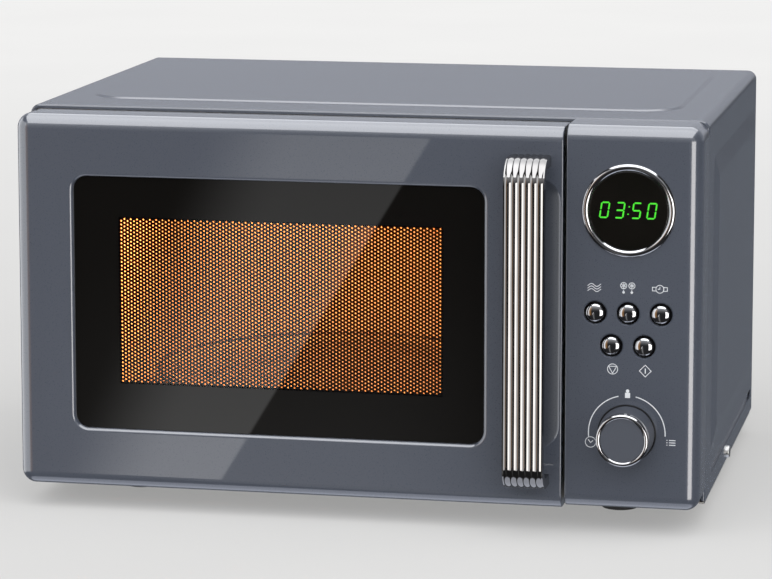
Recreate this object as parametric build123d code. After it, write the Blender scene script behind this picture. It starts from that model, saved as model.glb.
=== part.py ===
"""Retro countertop microwave oven with a side-hung door, a turntable and a control panel.

Millimetres, +Z up, front towards -Y. The origin lies on the worktop, under the middle of the oven.
"""

from build123d import *
import math
import os

# Casing sizes
CASE_W = 440.0  # width over the door and the control panel
CASE_TOP = 258.0  # cabinet's flat top above the worktop
CASE_BOTTOM = 16.5  # lower edge of the cabinet's sides
BODY_D = 326.0  # door front to the cabinet's rear rim
CABINET_SETBACK = 35.0  # cabinet's front edge behind the door front
SHEET = 0.8  # cabinet sheet
CABINET_R = 6.0  # cabinet's upper corners
CORNER_R = 9.5  # corners of the front outline
EDGE_R = 9.0  # round between the front and the sides
SEAM_R = 0.8  # front edges along the door's seam
HEM_T = 2.4  # folded front edge of the cabinet
HEM_L = 6.0
HEM_R = 1.4
TOP_RISE = 0.8  # raised field on the top
TOP_SLOPE = 3.0
TOP_FIELD_R = 26.0
TOP_MARGIN_X = 24.0
TOP_MARGIN_FRONT = 40.0
TOP_MARGIN_REAR = 18.0
SIDE_RISE = 2.0  # raised field on each side
SIDE_SLOPE = 13.0
SIDE_FIELD_R = 2.5
SIDE_MARGIN_FRONT = 30.0
SIDE_MARGIN_REAR = 12.0
SIDE_FIELD_LOW = 43.0  # lower edge of the side field above the worktop
SIDE_MARGIN_TOP = 26.0
BEAD_H = 5.5  # pressed groove along the foot of each side
BEAD_DEPTH = 1.6
BEAD_Z = 29.8
BEAD_MARGIN_FRONT = 34.0
BEAD_MARGIN_REAR = 8.0
PLATE = 1.2  # rear panel and base plate
REAR_RIM = 2.8  # rear panel's recess behind the cabinet's rear rim
FOOT_H = 14.0
FOOT_R = 14.0
FOOT_TOE_R = 11.5
FOOT_IN = 60.0  # foot centre from the cabinet's sides
FOOT_INSET = 41.5  # foot centre to the base plate's front and rear edges
FLANGE_H = 9.5  # upturned sides of the base plate
GLAND_REACH = 4.0  # cord gland behind the rear rim
GLAND_R = 9.0
GLAND_NECK_R = 6.5
GLAND_BORE_R = 4.2
GLAND_EDGE_R = 1.5
GLAND_TAIL = 4.0  # gland inside the rear panel
GLAND_Z = 52.0
GLAND_FROM_SIDE = 34.0
SLOT_L = 34.0  # cooling slots
SLOT_H = 4.0
SLOT_PITCH = 8.5
SLOT_ROWS = 11
SLOT_GAP = 4.0  # between two slots in a row
EXHAUST_ROWS = 6
EXHAUST_X = 70.0  # exhaust slots left of the cavity's middle
EXHAUST_DROP = 42.0  # exhaust slots below the cavity's roof
VENT_ROWS = 9  # slots in the base plate
VENT_PITCH = 17.0
VENT_X = 70.0
ROUND_SLACK = 0.05  # keeps a fully rounded end just short of a half circle
CUT = 1.0  # cutters run past a face by this much

# Door sizes
DOOR_SEAM = 2.0  # gap between the door and the control panel
DOOR_BOTTOM = 15.0
DOOR_DROP = 2.0  # door's top below the cabinet's top
DOOR_D = 32.0
DOOR_WALL = 2.5
DOOR_FACE = 3.0
DOOR_BACK_R = 4.0  # round on the hinged edge, which turns past the cabinet
WINDOW_IN_LEFT = 38.0  # window inside the door's edges
WINDOW_IN_RIGHT = 49.5
WINDOW_IN_LOW = 38.8
WINDOW_IN_HIGH = 39.0
WINDOW_R = 9.0
WINDOW_EDGE_R = 2.4
GLASS_LAP = 8.0
GLASS_T = 3.0
SCREEN_Y = 12.0  # perforated panel behind the door front
SCREEN_T = 1.0
CHOKE_T = 2.5
CHOKE_WALL = 1.5
VIEW_MARGIN = 14.0  # choke cover's opening around the perforated field
FIELD_IN_LEFT = 28.0  # perforated field inside the window
FIELD_IN_RIGHT = 30.5
FIELD_IN_LOW = 28.8
FIELD_IN_HIGH = 31.0
LAP_LEFT = 7.0  # screen tray over the cavity's mouth
LAP_RIGHT = 12.0
LAP_HEIGHT = 8.0
BOSS_R = 3.0
BOSS_INSET = 6.0  # screen's bosses inside its edges
TRAY_GAP = 2.0  # screen tray from the latch's guide ribs
SEAT = 0.5  # pieces joined to a wall start this far inside it
GUIDE_RIB_T = 2.0  # ribs that guide the latch bar
GUIDE_RIB_L = 24.0
GUIDE_RIB_PITCH = 60.0
CHOKE_R = 3.0
RECESS_IN = 1.5  # finger recess from the door's free edge
RECESS_W = 30.5
RECESS_IN_LOW = 38.0
RECESS_IN_HIGH = 31.0
RECESS_DEPTH = 4.0
RECESS_WALL = 2.0

# Handle sizes
HANDLE_REACH = 28.0
HANDLE_IN = 20.2  # handle's middle from the door's free edge
HANDLE_IN_LOW = 15.5
HANDLE_IN_HIGH = 17.0
HANDLE_T = 6.5  # bar behind the ribs
RIB_COUNT = 6
RIB_PITCH = 3.95
RIB_H = 0.5
HANDLE_BORDER = 0.8
HANDLE_BEND_R = 16.5  # outer bend at both ends
HANDLE_SCREW_R = 1.9
HANDLE_SCREW_L = 10.0
HANDLE_SCREW_IN = 4.5  # screw from the handle's ends

# Hinge and latch sizes
PIVOT_IN = 8.0  # hinge axis from the door's left edge
PIVOT_BACK = 22.0  # hinge axis behind the door front
PIN_R = 3.0
RUN_GAP = 0.05  # radial clearance of a running fit
ARM_T = 3.0
ARM_HALF_W = 5.0
ARM_FROM_END = 10.0  # hinge arm from the door's upper and lower edges
HINGE_BOSS_R = 6.0
HINGE_GAP = 0.5
HINGE_PLATE_T = 1.2
HINGE_PLATE_H = 30.0
LATCH_IN = 15.5  # latch from the door's free edge
LATCH_W = 5.0
LATCH_BAR_W = 7.0
LATCH_BAR_D = 8.0
LATCH_BAR_IN = 13.0  # latch bar behind the door's face sheet
LATCH_END = 6.0  # latch bar above the upper hook
LATCH_STOP_T = 4.0
LATCH_STOP_W = 10.0
NOSE_L = 6.0
HOOK_IN_LOW = 65.0  # hooks from the door's lower and upper edges
HOOK_IN_HIGH = 60.0
HOOK_H = 8.0
HOOK_NOSE = 4.0
HOOK_REACH = 23.0  # hook tip behind the door's rim
LATCH_LIFT = 4.0
LATCH_GAP = 0.5
CHOKE_SIDE_GAP = 1.5  # room beside a hook in the choke cover
SLOT_SIDE_GAP = 3.0  # room beside a hook, whose tip swings sideways as the door opens
SPRING_R = 3.2
SPRING_WIRE_R = 0.4
SPRING_TURNS = 6
SPRING_L = 16.0
SPRING_SEAT = 0.48  # wire's middle above the spring's ends
SWITCH_W = 10.3
SWITCH_D = 16.0
SWITCH_H = 28.0
PLUNGER_R = 1.5
PLUNGER_OUT = 2.5
PLUNGER_TRAVEL = 1.0
PLUNGER_IN = 2.0
SWITCH_GAP = 0.5  # between two switches
SWITCH_R = 1.0
BRACKET_T = 3.0
BRACKET_GAP = 1.5
BRACKET_FLANGE = 2.0
BRACKET_END = 4.0
LEDGE_T = 4.0

# Cavity and turntable sizes
FRONT_PLATE_GAP = 2.0  # front plate's recess behind the cabinet's edge
FRONT_PLATE_T = 1.0
CAVITY_IN = 22.0  # cavity from the cabinet's left side
CAVITY_FLOOR = 42.0
CAVITY_DROP = 26.0  # cavity's roof below the cabinet's top
CAVITY_T = 1.0
PORT_D = 51.0  # microwave port in the cavity's side
PORT_H = 46.0
MICA_T = 0.8
MICA_LAP = 8.5  # mica cover around the port
MICA_R = 5.0
AIR_COLUMNS = 4  # air holes in the cavity's side
AIR_ROWS = 3
AIR_PITCH = 9.0
AIR_INSET = 22.0
AIR_HOLE_R = 2.5
SHAFT_HOLE_GAP = 2.0
PLATE_ROOM = 25.5  # turntable plate from the cavity's sides
PLATE_T = 5.0
PLATE_RIM_H = 9.0
PLATE_LIP = 3.5  # width of the plate's upper edge
PLATE_SLOPE = 10.0
ROLLER_R = 7.0
ROLLER_W = 6.0
ROLLER_IN = 18.5  # roller track inside the plate's rim
ROLLER_COUNT = 3
RING_IN = 12.0  # ring inside the roller track
RING_WIRE_R = 3.0
AXLE_R = 2.0
AXLE_STEP = 1.0  # collar and head outside the axle
AXLE_HEAD_L = 1.5
ROLLER_EDGE_R = 0.8
ROLL_GAP = 0.3
HUB_R = 9.0
HUB_ARM_R = 19.0
HUB_ARM_W = 8.0
HUB_GAP = 1.0  # hub above the cavity floor
LUG_H = 6.0
LUG_W = 5.0
LUG_ROOM = 1.5  # lugs outside the hub
LUG_GAP = 0.6
SHAFT_R = 3.5
MOTOR_R = 25.0
MOTOR_H = 17.0
MOTOR_EDGE_R = 2.0
MOTOR_TAG_L = 16.0  # terminal block on the motor's rim
MOTOR_TAG_W = 22.0
MOTOR_DEPTH = 12.0  # shaft's depth in the motor

# Control panel sizes
PANEL_W = 84.5
PANEL_GAP = 1.0  # front plate's edge beside the panel
PANEL_RISE = 0.1  # panel's foot above the cabinet's lower edge
PANEL_DROP = 0.4  # panel's top below the cabinet's top
PANEL_SETBACK = 0.5  # panel's face behind the door's face
PANEL_FACE = 2.5
CONTROLS_IN = 45.5  # centre line of the controls from the panel's outer side
DISPLAY_DROP = 52.2  # display's middle below the panel's top
BEZEL_R = 29.2
BEZEL_BORE_R = 24.7
BEZEL_H = 1.8
BEZEL_SLEEVE = 0.6
LENS_GAP = 0.1
LENS_RECESS = 1.2  # lens below the bezel's crest
LENS_T = 2.4
LENS_EDGE_R = 0.5
MODULE_H = 24.0
MODULE_GAP = 0.6  # display module inside the bezel's sleeve
BUTTON_PITCH = 20.5
BUTTON_DROP = 116.6  # upper buttons below the panel's top
BUTTON_R = 5.6
BUTTON_HOLE_R = 7.1
BUTTON_DOME_H = 1.7
BUTTON_COLLAR_R = 7.8
BUTTON_STEM_R = 2.5
BUTTON_TRAVEL = 1.2
BUTTON_GAP = 0.4
BUTTON_COLLAR_T = 1.2
KEY_H = 5.0  # key switch and its room behind a button's stem
KEY_W = 6.0
HOLE_CHAMFER = 0.8
KNOB_UP = 48.8  # knob's axis above the panel's foot
KNOB_R = 17.4
KNOB_TIP_R = 16.5
KNOB_H = 22.0
KNOB_GAP = 0.8
KNOB_RING_W = 3.0
KNOB_RING_H = 4.0
KNOB_DISC_RECESS = 0.9
KNOB_CREST = 1.4  # rounded crest of the bright ring
PRESS_GAP = 0.02
SPINDLE_R = 3.0
SPINDLE_GRIP = 12.0
SPINDLE_HOLE_GAP = 1.5
SPINDLE_END = 2.0  # spindle's end in front of the control board
BUSH_T = 1.2
BUSH_GAP = 1.0
ENCODER_W = 12.0
ENCODER_H = 7.0
BOARD_DEPTH = 20.0  # control board behind the door front
BOARD_T = 1.6
BOARD_MARGIN = 5.5
POST_INSET = 3.5
RELAY_W = 40.0
RELAY_D = 9.0
RELAY_H = 16.0
RELAY_UP = 24.0  # relay above the knob's axis

# Equipment sizes
GUIDE_W = 30.0  # waveguide box beside the cavity
GUIDE_T = 1.0
GUIDE_D = 85.0
GUIDE_H = 76.0
GUIDE_Y = 190.0  # magnetron's axis behind the door front
GUIDE_Z = 150.0
ANTENNA_R = 7.5
ANTENNA_L = 18.0
ANTENNA_EDGE_R = 3.0
ANTENNA_GAP = 1.0
YOKE_W = 64.0
YOKE_T = 2.0
YOKE_D = 75.0
FILTER_BOX = 46.0
FILTER_BOX_W = 14.0
FIN_COUNT = 6
FIN_T = 0.8
FIN_D = 69.0
ANODE_R = 18.0
CORE_W = 80.0
CORE_D = 62.0
CORE_H = 68.0
CORE_LIMB = 13.0
COIL_OUT = 12.0
COIL_GAP = 0.5
CORE_Y = 118.0
CORE_ASIDE = 8.0  # core right of the bay's middle
COIL_R = 8.4
CAP_W = 34.0
CAP_D = 52.0
CAP_H = 84.0
CAP_Y = 226.0
CAP_FROM_CAVITY = 14.0
CAP_R = 15.3
TAG_T = 1.0  # terminal tags
TAG_W = 6.0
TAG_H = 9.0
TAG_PITCH = 22.0
CLAMP_T = 1.2
CLAMP_H = 14.0
CLAMP_Z = 33.6  # clamp's middle above the base plate
STRAP_W = 12.0
STRAP_L = 14.0
DIODE_R = 4.0
DIODE_L = 26.0
DIODE_Z = 63.0
LEAD_R = 0.8
LEAD_L = 42.0
FAN_Z = 152.0
FAN_R = 46.0
FAN_HUB_R = 9.0
FAN_BLADES = 5
FAN_W = 14.0
FAN_GAP = 3.0
FAN_HUB_GAP = 1.0
BLADE_T = 1.6
BLADE_W = 24.0
BLADE_PITCH = 28.0  # degrees
BLADE_IN = 2.0  # blade's root inside the hub
FAN_SHAFT_R = 2.0
FAN_MOTOR_W = 58.0
FAN_MOTOR_H = 46.0
FAN_MOTOR_D = 24.0
FAN_MOTOR_R = 4.0
FAN_COIL_L = 22.0
FAN_BEARING = 6.0  # motor's end wall behind the shaft
DUCT_T = 1.6
DUCT_L = 16.0
DUCT_SIDE_GAP = 3.0
DUCT_OVER = 8.0  # back plate above the fan's hole
DUCT_BAR = 6.0
DUCT_BAR_PITCH = 32.2
CUTOUT_R = 8.0
CUTOUT_H = 6.0
CUTOUT_TAG_W = 20.0
CUTOUT_X = 90.0  # roof cut-out right of the cavity's middle
FILTER_D = 56.0  # filter board
FILTER_H = 70.0
FILTER_STAND = 5.0
FILTER_POST_R = 2.5
FILTER_POST_IN = 5.0
FILTER_DROP = 59.0  # filter board's middle below the lamp
CHOKE_COIL_R = 11.0
CHOKE_COIL_L = 12.0
FUSE_R = 3.2
FUSE_L = 26.0
FILTER_CAP_D = 16.0
FILTER_CAP_W = 11.0
FILTER_CAP_H = 26.0
LAMP_Y = 115.0
LAMP_DROP = 21.0  # lamp below the cavity's roof
BULB_R = 8.0
BULB_NECK_R = 5.0
BULB_GAP = 0.3  # bulb inside its hole
LAMP_BLOCK = 20.0
LAMP_BLOCK_R = 3.0
LAMP_FOOT_T = 2.0
LAMP_FOOT_W = 12.0
SCREW_R = 1.9
SCREW_HEAD_R = 4.0
SCREW_HEAD_H = 2.2
SCREW_L = 8.0
SCREW_HOLE_R = 2.0
SCREW_EDGE_R = 1.3
CROSS_L = 4.4  # crossed recess in a screw head
CROSS_W = 0.9
CROSS_H = 1.1
REAR_SCREW_INSET = 14.0
SIDE_SCREW_Y = 163.0
SIDE_SCREW_Z = 20.6

# Places worked out from the sizes
TOL = 1e-4
HALF_W = CASE_W / 2
FOOT_X = HALF_W - FOOT_IN
PANEL_LEFT = HALF_W - PANEL_W
PANEL_BOTTOM = CASE_BOTTOM + PANEL_RISE
PANEL_TOP = CASE_TOP - PANEL_DROP
PANEL_X = HALF_W - CONTROLS_IN
DISPLAY_Z = PANEL_TOP - DISPLAY_DROP
BUTTON_TOP_Z = PANEL_TOP - BUTTON_DROP
BUTTON_LOW_Z = BUTTON_TOP_Z - BUTTON_PITCH
KNOB_Z = PANEL_BOTTOM + KNOB_UP
DOOR_LEFT = -HALF_W
DOOR_R_EDGE = PANEL_LEFT - DOOR_SEAM
DOOR_TOP = CASE_TOP - DOOR_DROP
WINDOW_LEFT = DOOR_LEFT + WINDOW_IN_LEFT
WINDOW_RIGHT = DOOR_R_EDGE - WINDOW_IN_RIGHT
WINDOW_BOTTOM = DOOR_BOTTOM + WINDOW_IN_LOW
WINDOW_TOP = DOOR_TOP - WINDOW_IN_HIGH
FIELD_LEFT = WINDOW_LEFT + FIELD_IN_LEFT
FIELD_RIGHT = WINDOW_RIGHT - FIELD_IN_RIGHT
FIELD_BOTTOM = WINDOW_BOTTOM + FIELD_IN_LOW
FIELD_TOP = WINDOW_TOP - FIELD_IN_HIGH
RECESS_RIGHT = DOOR_R_EDGE - RECESS_IN
RECESS_LEFT = RECESS_RIGHT - RECESS_W
RECESS_BOTTOM = DOOR_BOTTOM + RECESS_IN_LOW
RECESS_TOP = DOOR_TOP - RECESS_IN_HIGH
HANDLE_X = DOOR_R_EDGE - HANDLE_IN
HANDLE_BOTTOM = DOOR_BOTTOM + HANDLE_IN_LOW
HANDLE_TOP = DOOR_TOP - HANDLE_IN_HIGH
LATCH_X = DOOR_R_EDGE - LATCH_IN
HOOK_LOW_Z = DOOR_BOTTOM + HOOK_IN_LOW
HOOK_HIGH_Z = DOOR_TOP - HOOK_IN_HIGH
TRAY_RIGHT = LATCH_X - LATCH_BAR_W / 2 - LATCH_GAP - GUIDE_RIB_T - TRAY_GAP
CAVITY_LEFT = CAVITY_IN - HALF_W
CAVITY_RIGHT = TRAY_RIGHT - LAP_RIGHT
CAVITY_TOP = CASE_TOP - CAVITY_DROP
LAMP_Z = CAVITY_TOP - LAMP_DROP
FILTER_Z = LAMP_Z - FILTER_DROP
PLATE_R = (CAVITY_RIGHT - CAVITY_LEFT) / 2 - PLATE_ROOM
ROLLER_TRACK_R = PLATE_R - ROLLER_IN
RING_R = ROLLER_TRACK_R - RING_IN
FRONT = HANDLE_REACH - (HANDLE_REACH + BODY_D + GLAND_REACH) / 2
RIM = FRONT + BODY_D
CABINET_Y = FRONT + CABINET_SETBACK
INNER_W = HALF_W - SHEET
REAR_FACE = RIM - REAR_RIM
REAR_INNER = REAR_FACE - PLATE
BASE_LOW = FOOT_H
BASE_TOP = BASE_LOW + PLATE
DOOR_BACK = FRONT + DOOR_D
PLATE_Y = CABINET_Y + FRONT_PLATE_GAP
CAVITY_Y = PLATE_Y + FRONT_PLATE_T
CAVITY_REAR = REAR_INNER - CAVITY_T
BAY_LEFT = CAVITY_RIGHT + CAVITY_T
TRAY_X = (CAVITY_LEFT - LAP_LEFT, TRAY_RIGHT)
TRAY_Z = (CAVITY_FLOOR - LAP_HEIGHT, CAVITY_TOP + LAP_HEIGHT)
TRAY_Y = FRONT + SCREEN_Y
PIVOT_X = DOOR_LEFT + PIVOT_IN
PIVOT_Y = FRONT + PIVOT_BACK
HOOK_ZS = (HOOK_LOW_Z, HOOK_HIGH_Z)
HOOK_TIP = DOOR_BACK + HOOK_REACH
TABLE_X = (CAVITY_LEFT + CAVITY_RIGHT) / 2
TABLE_Y = (CAVITY_Y + CAVITY_REAR) / 2
ROLLER_Z = CAVITY_FLOOR + ROLL_GAP + ROLLER_R
PLATE_LOW = ROLLER_Z + ROLLER_R + ROLL_GAP
HUB_LOW = CAVITY_FLOOR + HUB_GAP
HUB_TOP = PLATE_LOW - LUG_GAP
PANEL_Y = FRONT + PANEL_SETBACK
PANEL_IN = PANEL_Y + PANEL_FACE
BOARD_Y = FRONT + BOARD_DEPTH
BUTTON_PLACES = {
    "button_power": (PANEL_X - BUTTON_PITCH, BUTTON_TOP_Z),
    "button_defrost": (PANEL_X, BUTTON_TOP_Z),
    "button_clock": (PANEL_X + BUTTON_PITCH, BUTTON_TOP_Z),
    "button_stop": (PANEL_X - BUTTON_PITCH / 2, BUTTON_LOW_Z),
    "button_start": (PANEL_X + BUTTON_PITCH / 2, BUTTON_LOW_Z),
}
GUIDE_MID_Y = FRONT + GUIDE_Y
YOKE_X = BAY_LEFT + GUIDE_W
BAY_MID = (BAY_LEFT + INNER_W) / 2
FAN_Y = REAR_INNER - FAN_GAP - FAN_W
SWITCH_Y = HOOK_TIP + LATCH_GAP + PLUNGER_OUT
BRACKET_X = LATCH_X + LATCH_W / 2 + SLOT_SIDE_GAP + BRACKET_GAP
SIDE_SCREW = (FRONT + SIDE_SCREW_Y, SIDE_SCREW_Z)
SWITCH_PLACES = {
    "plunger_primary": HOOK_HIGH_Z,
    "plunger_secondary": HOOK_LOW_Z + HOOK_H / 2 - PLUNGER_R,
    "plunger_monitor": HOOK_LOW_Z - HOOK_H / 2 - PLUNGER_R,
}
SWITCH_BODY_LOW = {
    "plunger_primary": HOOK_HIGH_Z - SWITCH_H / 2,
    "plunger_secondary": HOOK_LOW_Z - SWITCH_GAP / 2,
    "plunger_monitor": HOOK_LOW_Z - 1.5 * SWITCH_GAP - SWITCH_H,
}


def block(x, y, z):
    """A box between two corners, each axis given as (low, high)."""
    middle = Pos((x[0] + x[1]) / 2, (y[0] + y[1]) / 2, (z[0] + z[1]) / 2)
    return middle * Box(x[1] - x[0], y[1] - y[0], z[1] - z[0])


def around(middle, size):
    """(low, high) of a span of this size about its middle."""
    return (middle - size / 2, middle + size / 2)


def rod_x(x, y, z, radius):
    return Pos((x[0] + x[1]) / 2, y, z) * Rot(0, 90, 0) * Cylinder(radius, x[1] - x[0])


def rod_y(x, y, z, radius):
    return Pos(x, (y[0] + y[1]) / 2, z) * Rot(90, 0, 0) * Cylinder(radius, y[1] - y[0])


def rod_z(x, y, z, radius):
    return Pos(x, y, (z[0] + z[1]) / 2) * Cylinder(radius, z[1] - z[0])


def rounded(blank, axis, radius):
    """The blank with its edges along one axis rounded."""
    return fillet(blank.edges().filter_by(axis), radius)


def turned(points, x, y, z, crest=0.0):
    """A turned piece: points are (radius, height), and height runs out of the front at (x, y, z).

    The last point joins the first by a line, or at one height by half an ellipse that rises to a crest.
    """
    outline = [Polyline(*points, close=not crest)]
    if crest:
        (inner, height), (outer, _) = points[0], points[-1]
        middle, half = (inner + outer) / 2, (outer - inner) / 2
        outline.append(EllipticalCenterArc((middle, height), half, crest, arc_size=180))
    return Pos(x, y, z) * Rot(90, 0, 0) * revolve(Plane.XZ * make_face(outline), Axis.Z)


def front_dome(x, y, z, radius, height):
    """Half of a flattened ball that stands out of the front at (x, y, z)."""
    outline = [Line((0, height), (0, 0)), Line((0, 0), (radius, 0))]
    outline.append(EllipticalCenterArc((0, 0), radius, height, arc_size=90))
    return Pos(x, y, z) * Rot(90, 0, 0) * revolve(Plane.XZ * make_face(outline), Axis.Z)


def front_cover(x, y, z, round_left, side_in=0.0, face_in=0.0):
    """Blank of a front cover: its outer side, top and bottom are rounded, and its inner side is square."""
    span_x = (x[0] + side_in, x[1] - side_in)
    span_z = (z[0] + side_in, z[1] - side_in)
    blank = block(span_x, (y[0] + face_in, y[1]), span_z)
    outer, inner = span_x if round_left else reversed(span_x)
    corners = [e for e in blank.edges().filter_by(Axis.Y) if abs(e.center().X - outer) < TOL]
    blank = fillet(corners, CORNER_R - side_in)
    front_edges = blank.edges().group_by(Axis.Y)[0]
    cover = fillet([e for e in front_edges if abs(e.center().X - inner) > TOL], EDGE_R - side_in)
    if side_in:
        return cover
    seam = [e for e in cover.edges() if abs(e.center().X - inner) < TOL and e.center().Y < y[0] + EDGE_R]
    return fillet(seam, SEAM_R)


# Casing
def cabinet_blank(inset, y):
    """Solid of the cabinet's outline, a given distance inside its outer skin."""
    half = HALF_W - inset
    blank = block((-half, half), y, (CASE_BOTTOM, CASE_TOP - inset))
    upper = blank.edges().filter_by(Axis.Y).group_by(Axis.Z)[-1]
    return fillet(upper, CABINET_R - inset)


def raised_field(plane, size, foot_r, radius, rise, slope):
    """A flat field that stands out of a sheet, with sloping sides."""
    foot = plane * RectangleRounded(size[0], size[1], foot_r)
    crest = plane.offset(rise) * RectangleRounded(size[0] - 2 * slope, size[1] - 2 * slope, radius)
    return loft([foot, crest], ruled=True)


def top_field(sunk):
    length = RIM - CABINET_Y - TOP_MARGIN_FRONT - TOP_MARGIN_REAR
    middle = CABINET_Y + TOP_MARGIN_FRONT + length / 2
    plane = Plane(origin=(0, middle, CASE_TOP - sunk))
    size = (CASE_W - 2 * TOP_MARGIN_X, length)
    return raised_field(plane, size, TOP_FIELD_R + TOP_SLOPE, TOP_FIELD_R, TOP_RISE, TOP_SLOPE)


def side_field(sunk):
    length = RIM - CABINET_Y - SIDE_MARGIN_FRONT - SIDE_MARGIN_REAR
    height = CASE_TOP - SIDE_MARGIN_TOP - SIDE_FIELD_LOW
    middle = (HALF_W - sunk, CABINET_Y + SIDE_MARGIN_FRONT + length / 2, SIDE_FIELD_LOW + height / 2)
    plane = Plane(origin=middle, x_dir=(0, 1, 0), z_dir=(1, 0, 0))
    return raised_field(plane, (length, height), SIDE_FIELD_R, SIDE_FIELD_R, SIDE_RISE, SIDE_SLOPE)


def side_bead(grown, outer_x):
    """Slot-shaped pressing along the foot of the right side, from outer_x inwards."""
    y = (CABINET_Y + BEAD_MARGIN_FRONT - grown, RIM - BEAD_MARGIN_REAR - grown / 2)
    blank = block((outer_x - BEAD_DEPTH, outer_x), y, around(BEAD_Z, BEAD_H + 2 * grown))
    return rounded(blank, Axis.X, BEAD_H / 2 + grown - ROUND_SLACK)


def cabinet():
    hem_end = CABINET_Y + HEM_L
    shell = cabinet_blank(0, (CABINET_Y, RIM))
    lip = shell.edges().group_by(Axis.Y)[0]
    lip = [e for e in lip if abs(e.center().Z - CASE_BOTTOM) > TOL]
    shell = fillet(lip, HEM_R)
    shell -= cabinet_blank(HEM_T, (CABINET_Y, hem_end))
    shell -= cabinet_blank(SHEET, (hem_end, RIM))
    bead_back = side_bead(SHEET, HALF_W - SHEET)
    side = side_field(0)
    shell += [top_field(0), side, mirror(side, about=Plane.YZ)]
    shell += [bead_back, mirror(bead_back, about=Plane.YZ)]
    side_hollow, groove = side_field(SHEET), side_bead(0, HALF_W)
    shell -= [top_field(SHEET), side_hollow, mirror(side_hollow, about=Plane.YZ)]
    shell -= [groove, mirror(groove, about=Plane.YZ)]
    return shell - rod_x((-HALF_W - CUT, HALF_W + CUT), *SIDE_SCREW, SCREW_HOLE_R)


def slot_grid(x_middle, z_middle, rows):
    """Cutters for rows of cooling slots through the rear panel."""
    lowest = z_middle - SLOT_PITCH * (rows - 1) / 2
    cutters = []
    for row in range(rows):
        for side in (-1, 1):
            x = around(x_middle + side * (SLOT_L + SLOT_GAP) / 2, SLOT_L)
            slot = block(x, (REAR_INNER - CUT, REAR_FACE + CUT), around(lowest + row * SLOT_PITCH, SLOT_H))
            cutters.append(rounded(slot, Axis.Y, SLOT_H / 2 - ROUND_SLACK))
    return cutters


REAR_SCREW_ZS = (BASE_TOP + REAR_SCREW_INSET, CASE_TOP - REAR_SCREW_INSET)
REAR_SCREWS = [(side * (INNER_W - REAR_SCREW_INSET), z) for side in (-1, 1) for z in REAR_SCREW_ZS]
REAR_SCREWS += [(0, REAR_SCREW_ZS[1]), (BAY_LEFT, REAR_SCREW_ZS[0])]


def rear_panel():
    sheet = block((-INNER_W, INNER_W), (REAR_INNER, REAR_FACE), (BASE_TOP, CASE_TOP - SHEET))
    upper = sheet.edges().filter_by(Axis.Y).group_by(Axis.Z)[-1]
    sheet = fillet(upper, CABINET_R - SHEET)
    cutters = slot_grid(BAY_MID, FAN_Z, SLOT_ROWS)
    cutters += slot_grid(TABLE_X - EXHAUST_X, CAVITY_TOP - EXHAUST_DROP, EXHAUST_ROWS)
    through = (REAR_INNER - CUT, REAR_FACE + CUT)
    cutters += [rod_y(x, through, z, SCREW_HOLE_R) for x, z in REAR_SCREWS]
    cutters.append(rod_y(INNER_W - GLAND_FROM_SIDE, through, GLAND_Z, GLAND_NECK_R))
    return sheet - cutters


def base_plate():
    span_y = (CAVITY_Y, REAR_INNER)
    plate = block((-INNER_W, INNER_W), span_y, (BASE_LOW, BASE_TOP))
    for side in (-1, 1):
        x = sorted((side * INNER_W, side * (INNER_W - PLATE)))
        plate += block(x, (CABINET_Y + HEM_L, REAR_INNER), (BASE_LOW, BASE_TOP + FLANGE_H))
    vents = []
    for row in range(VENT_ROWS):
        y = TABLE_Y + (row - (VENT_ROWS - 1) / 2) * VENT_PITCH
        for column in (-1, 1):
            x = around(TABLE_X + column * VENT_X, SLOT_L)
            vent = block(x, around(y, SLOT_H), (BASE_LOW - CUT, BASE_TOP + CUT))
            vents.append(rounded(vent, Axis.Z, SLOT_H / 2 - ROUND_SLACK))
    return plate - vents - rod_x((-HALF_W, HALF_W), *SIDE_SCREW, SCREW_HOLE_R)


def feet():
    ends = (CAVITY_Y + FOOT_INSET, REAR_INNER - FOOT_INSET)
    foot = loft([Circle(FOOT_TOE_R), Pos(0, 0, FOOT_H) * Circle(FOOT_R)])
    return Compound(children=[Pos(x, y, 0) * foot for x in (-FOOT_X, FOOT_X) for y in ends])


def screw():
    """Pan-head screw with a crossed recess, its head on the +Z side of the origin."""
    head = Cylinder(SCREW_HEAD_R, SCREW_HEAD_H, align=(Align.CENTER, Align.CENTER, Align.MIN))
    head = fillet(head.edges().group_by(Axis.Z)[-1], SCREW_EDGE_R)
    recess = Pos(0, 0, SCREW_HEAD_H) * Box(CROSS_L, CROSS_W, 2 * CROSS_H)
    shank = Cylinder(SCREW_R, SCREW_L, align=(Align.CENTER, Align.CENTER, Align.MAX))
    return head + shank - [recess, Rot(0, 0, 90) * recess]


def case_screws():
    pieces = [Pos(x, REAR_FACE, z) * Rot(-90, 0, 0) * screw() for x, z in REAR_SCREWS]
    for side in (-1, 1):
        pieces.append(Pos(side * HALF_W, *SIDE_SCREW) * Rot(0, side * 90, 0) * screw())
    return Compound(children=pieces)


def cord_gland():
    x, out = INNER_W - GLAND_FROM_SIDE, RIM + GLAND_REACH
    flange = rod_y(x, (REAR_FACE, out), GLAND_Z, GLAND_R)
    flange = fillet(flange.edges().group_by(Axis.Y)[-1], GLAND_EDGE_R)
    tail = REAR_INNER - GLAND_TAIL
    neck = rod_y(x, (tail, REAR_FACE), GLAND_Z, GLAND_NECK_R - RUN_GAP)
    return flange + neck - rod_y(x, (tail - CUT, out + CUT), GLAND_Z, GLAND_BORE_R)


# Cavity
def hook_slots(y, side_gap, lift_gap):
    """Cutters that let the two hooks pass and lift."""
    x = around(LATCH_X, LATCH_W + 2 * side_gap)
    low, high = HOOK_H / 2 + HOOK_NOSE + lift_gap, HOOK_H / 2 + LATCH_LIFT + lift_gap
    return [block(x, y, (z - low, z + high)) for z in HOOK_ZS]


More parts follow.
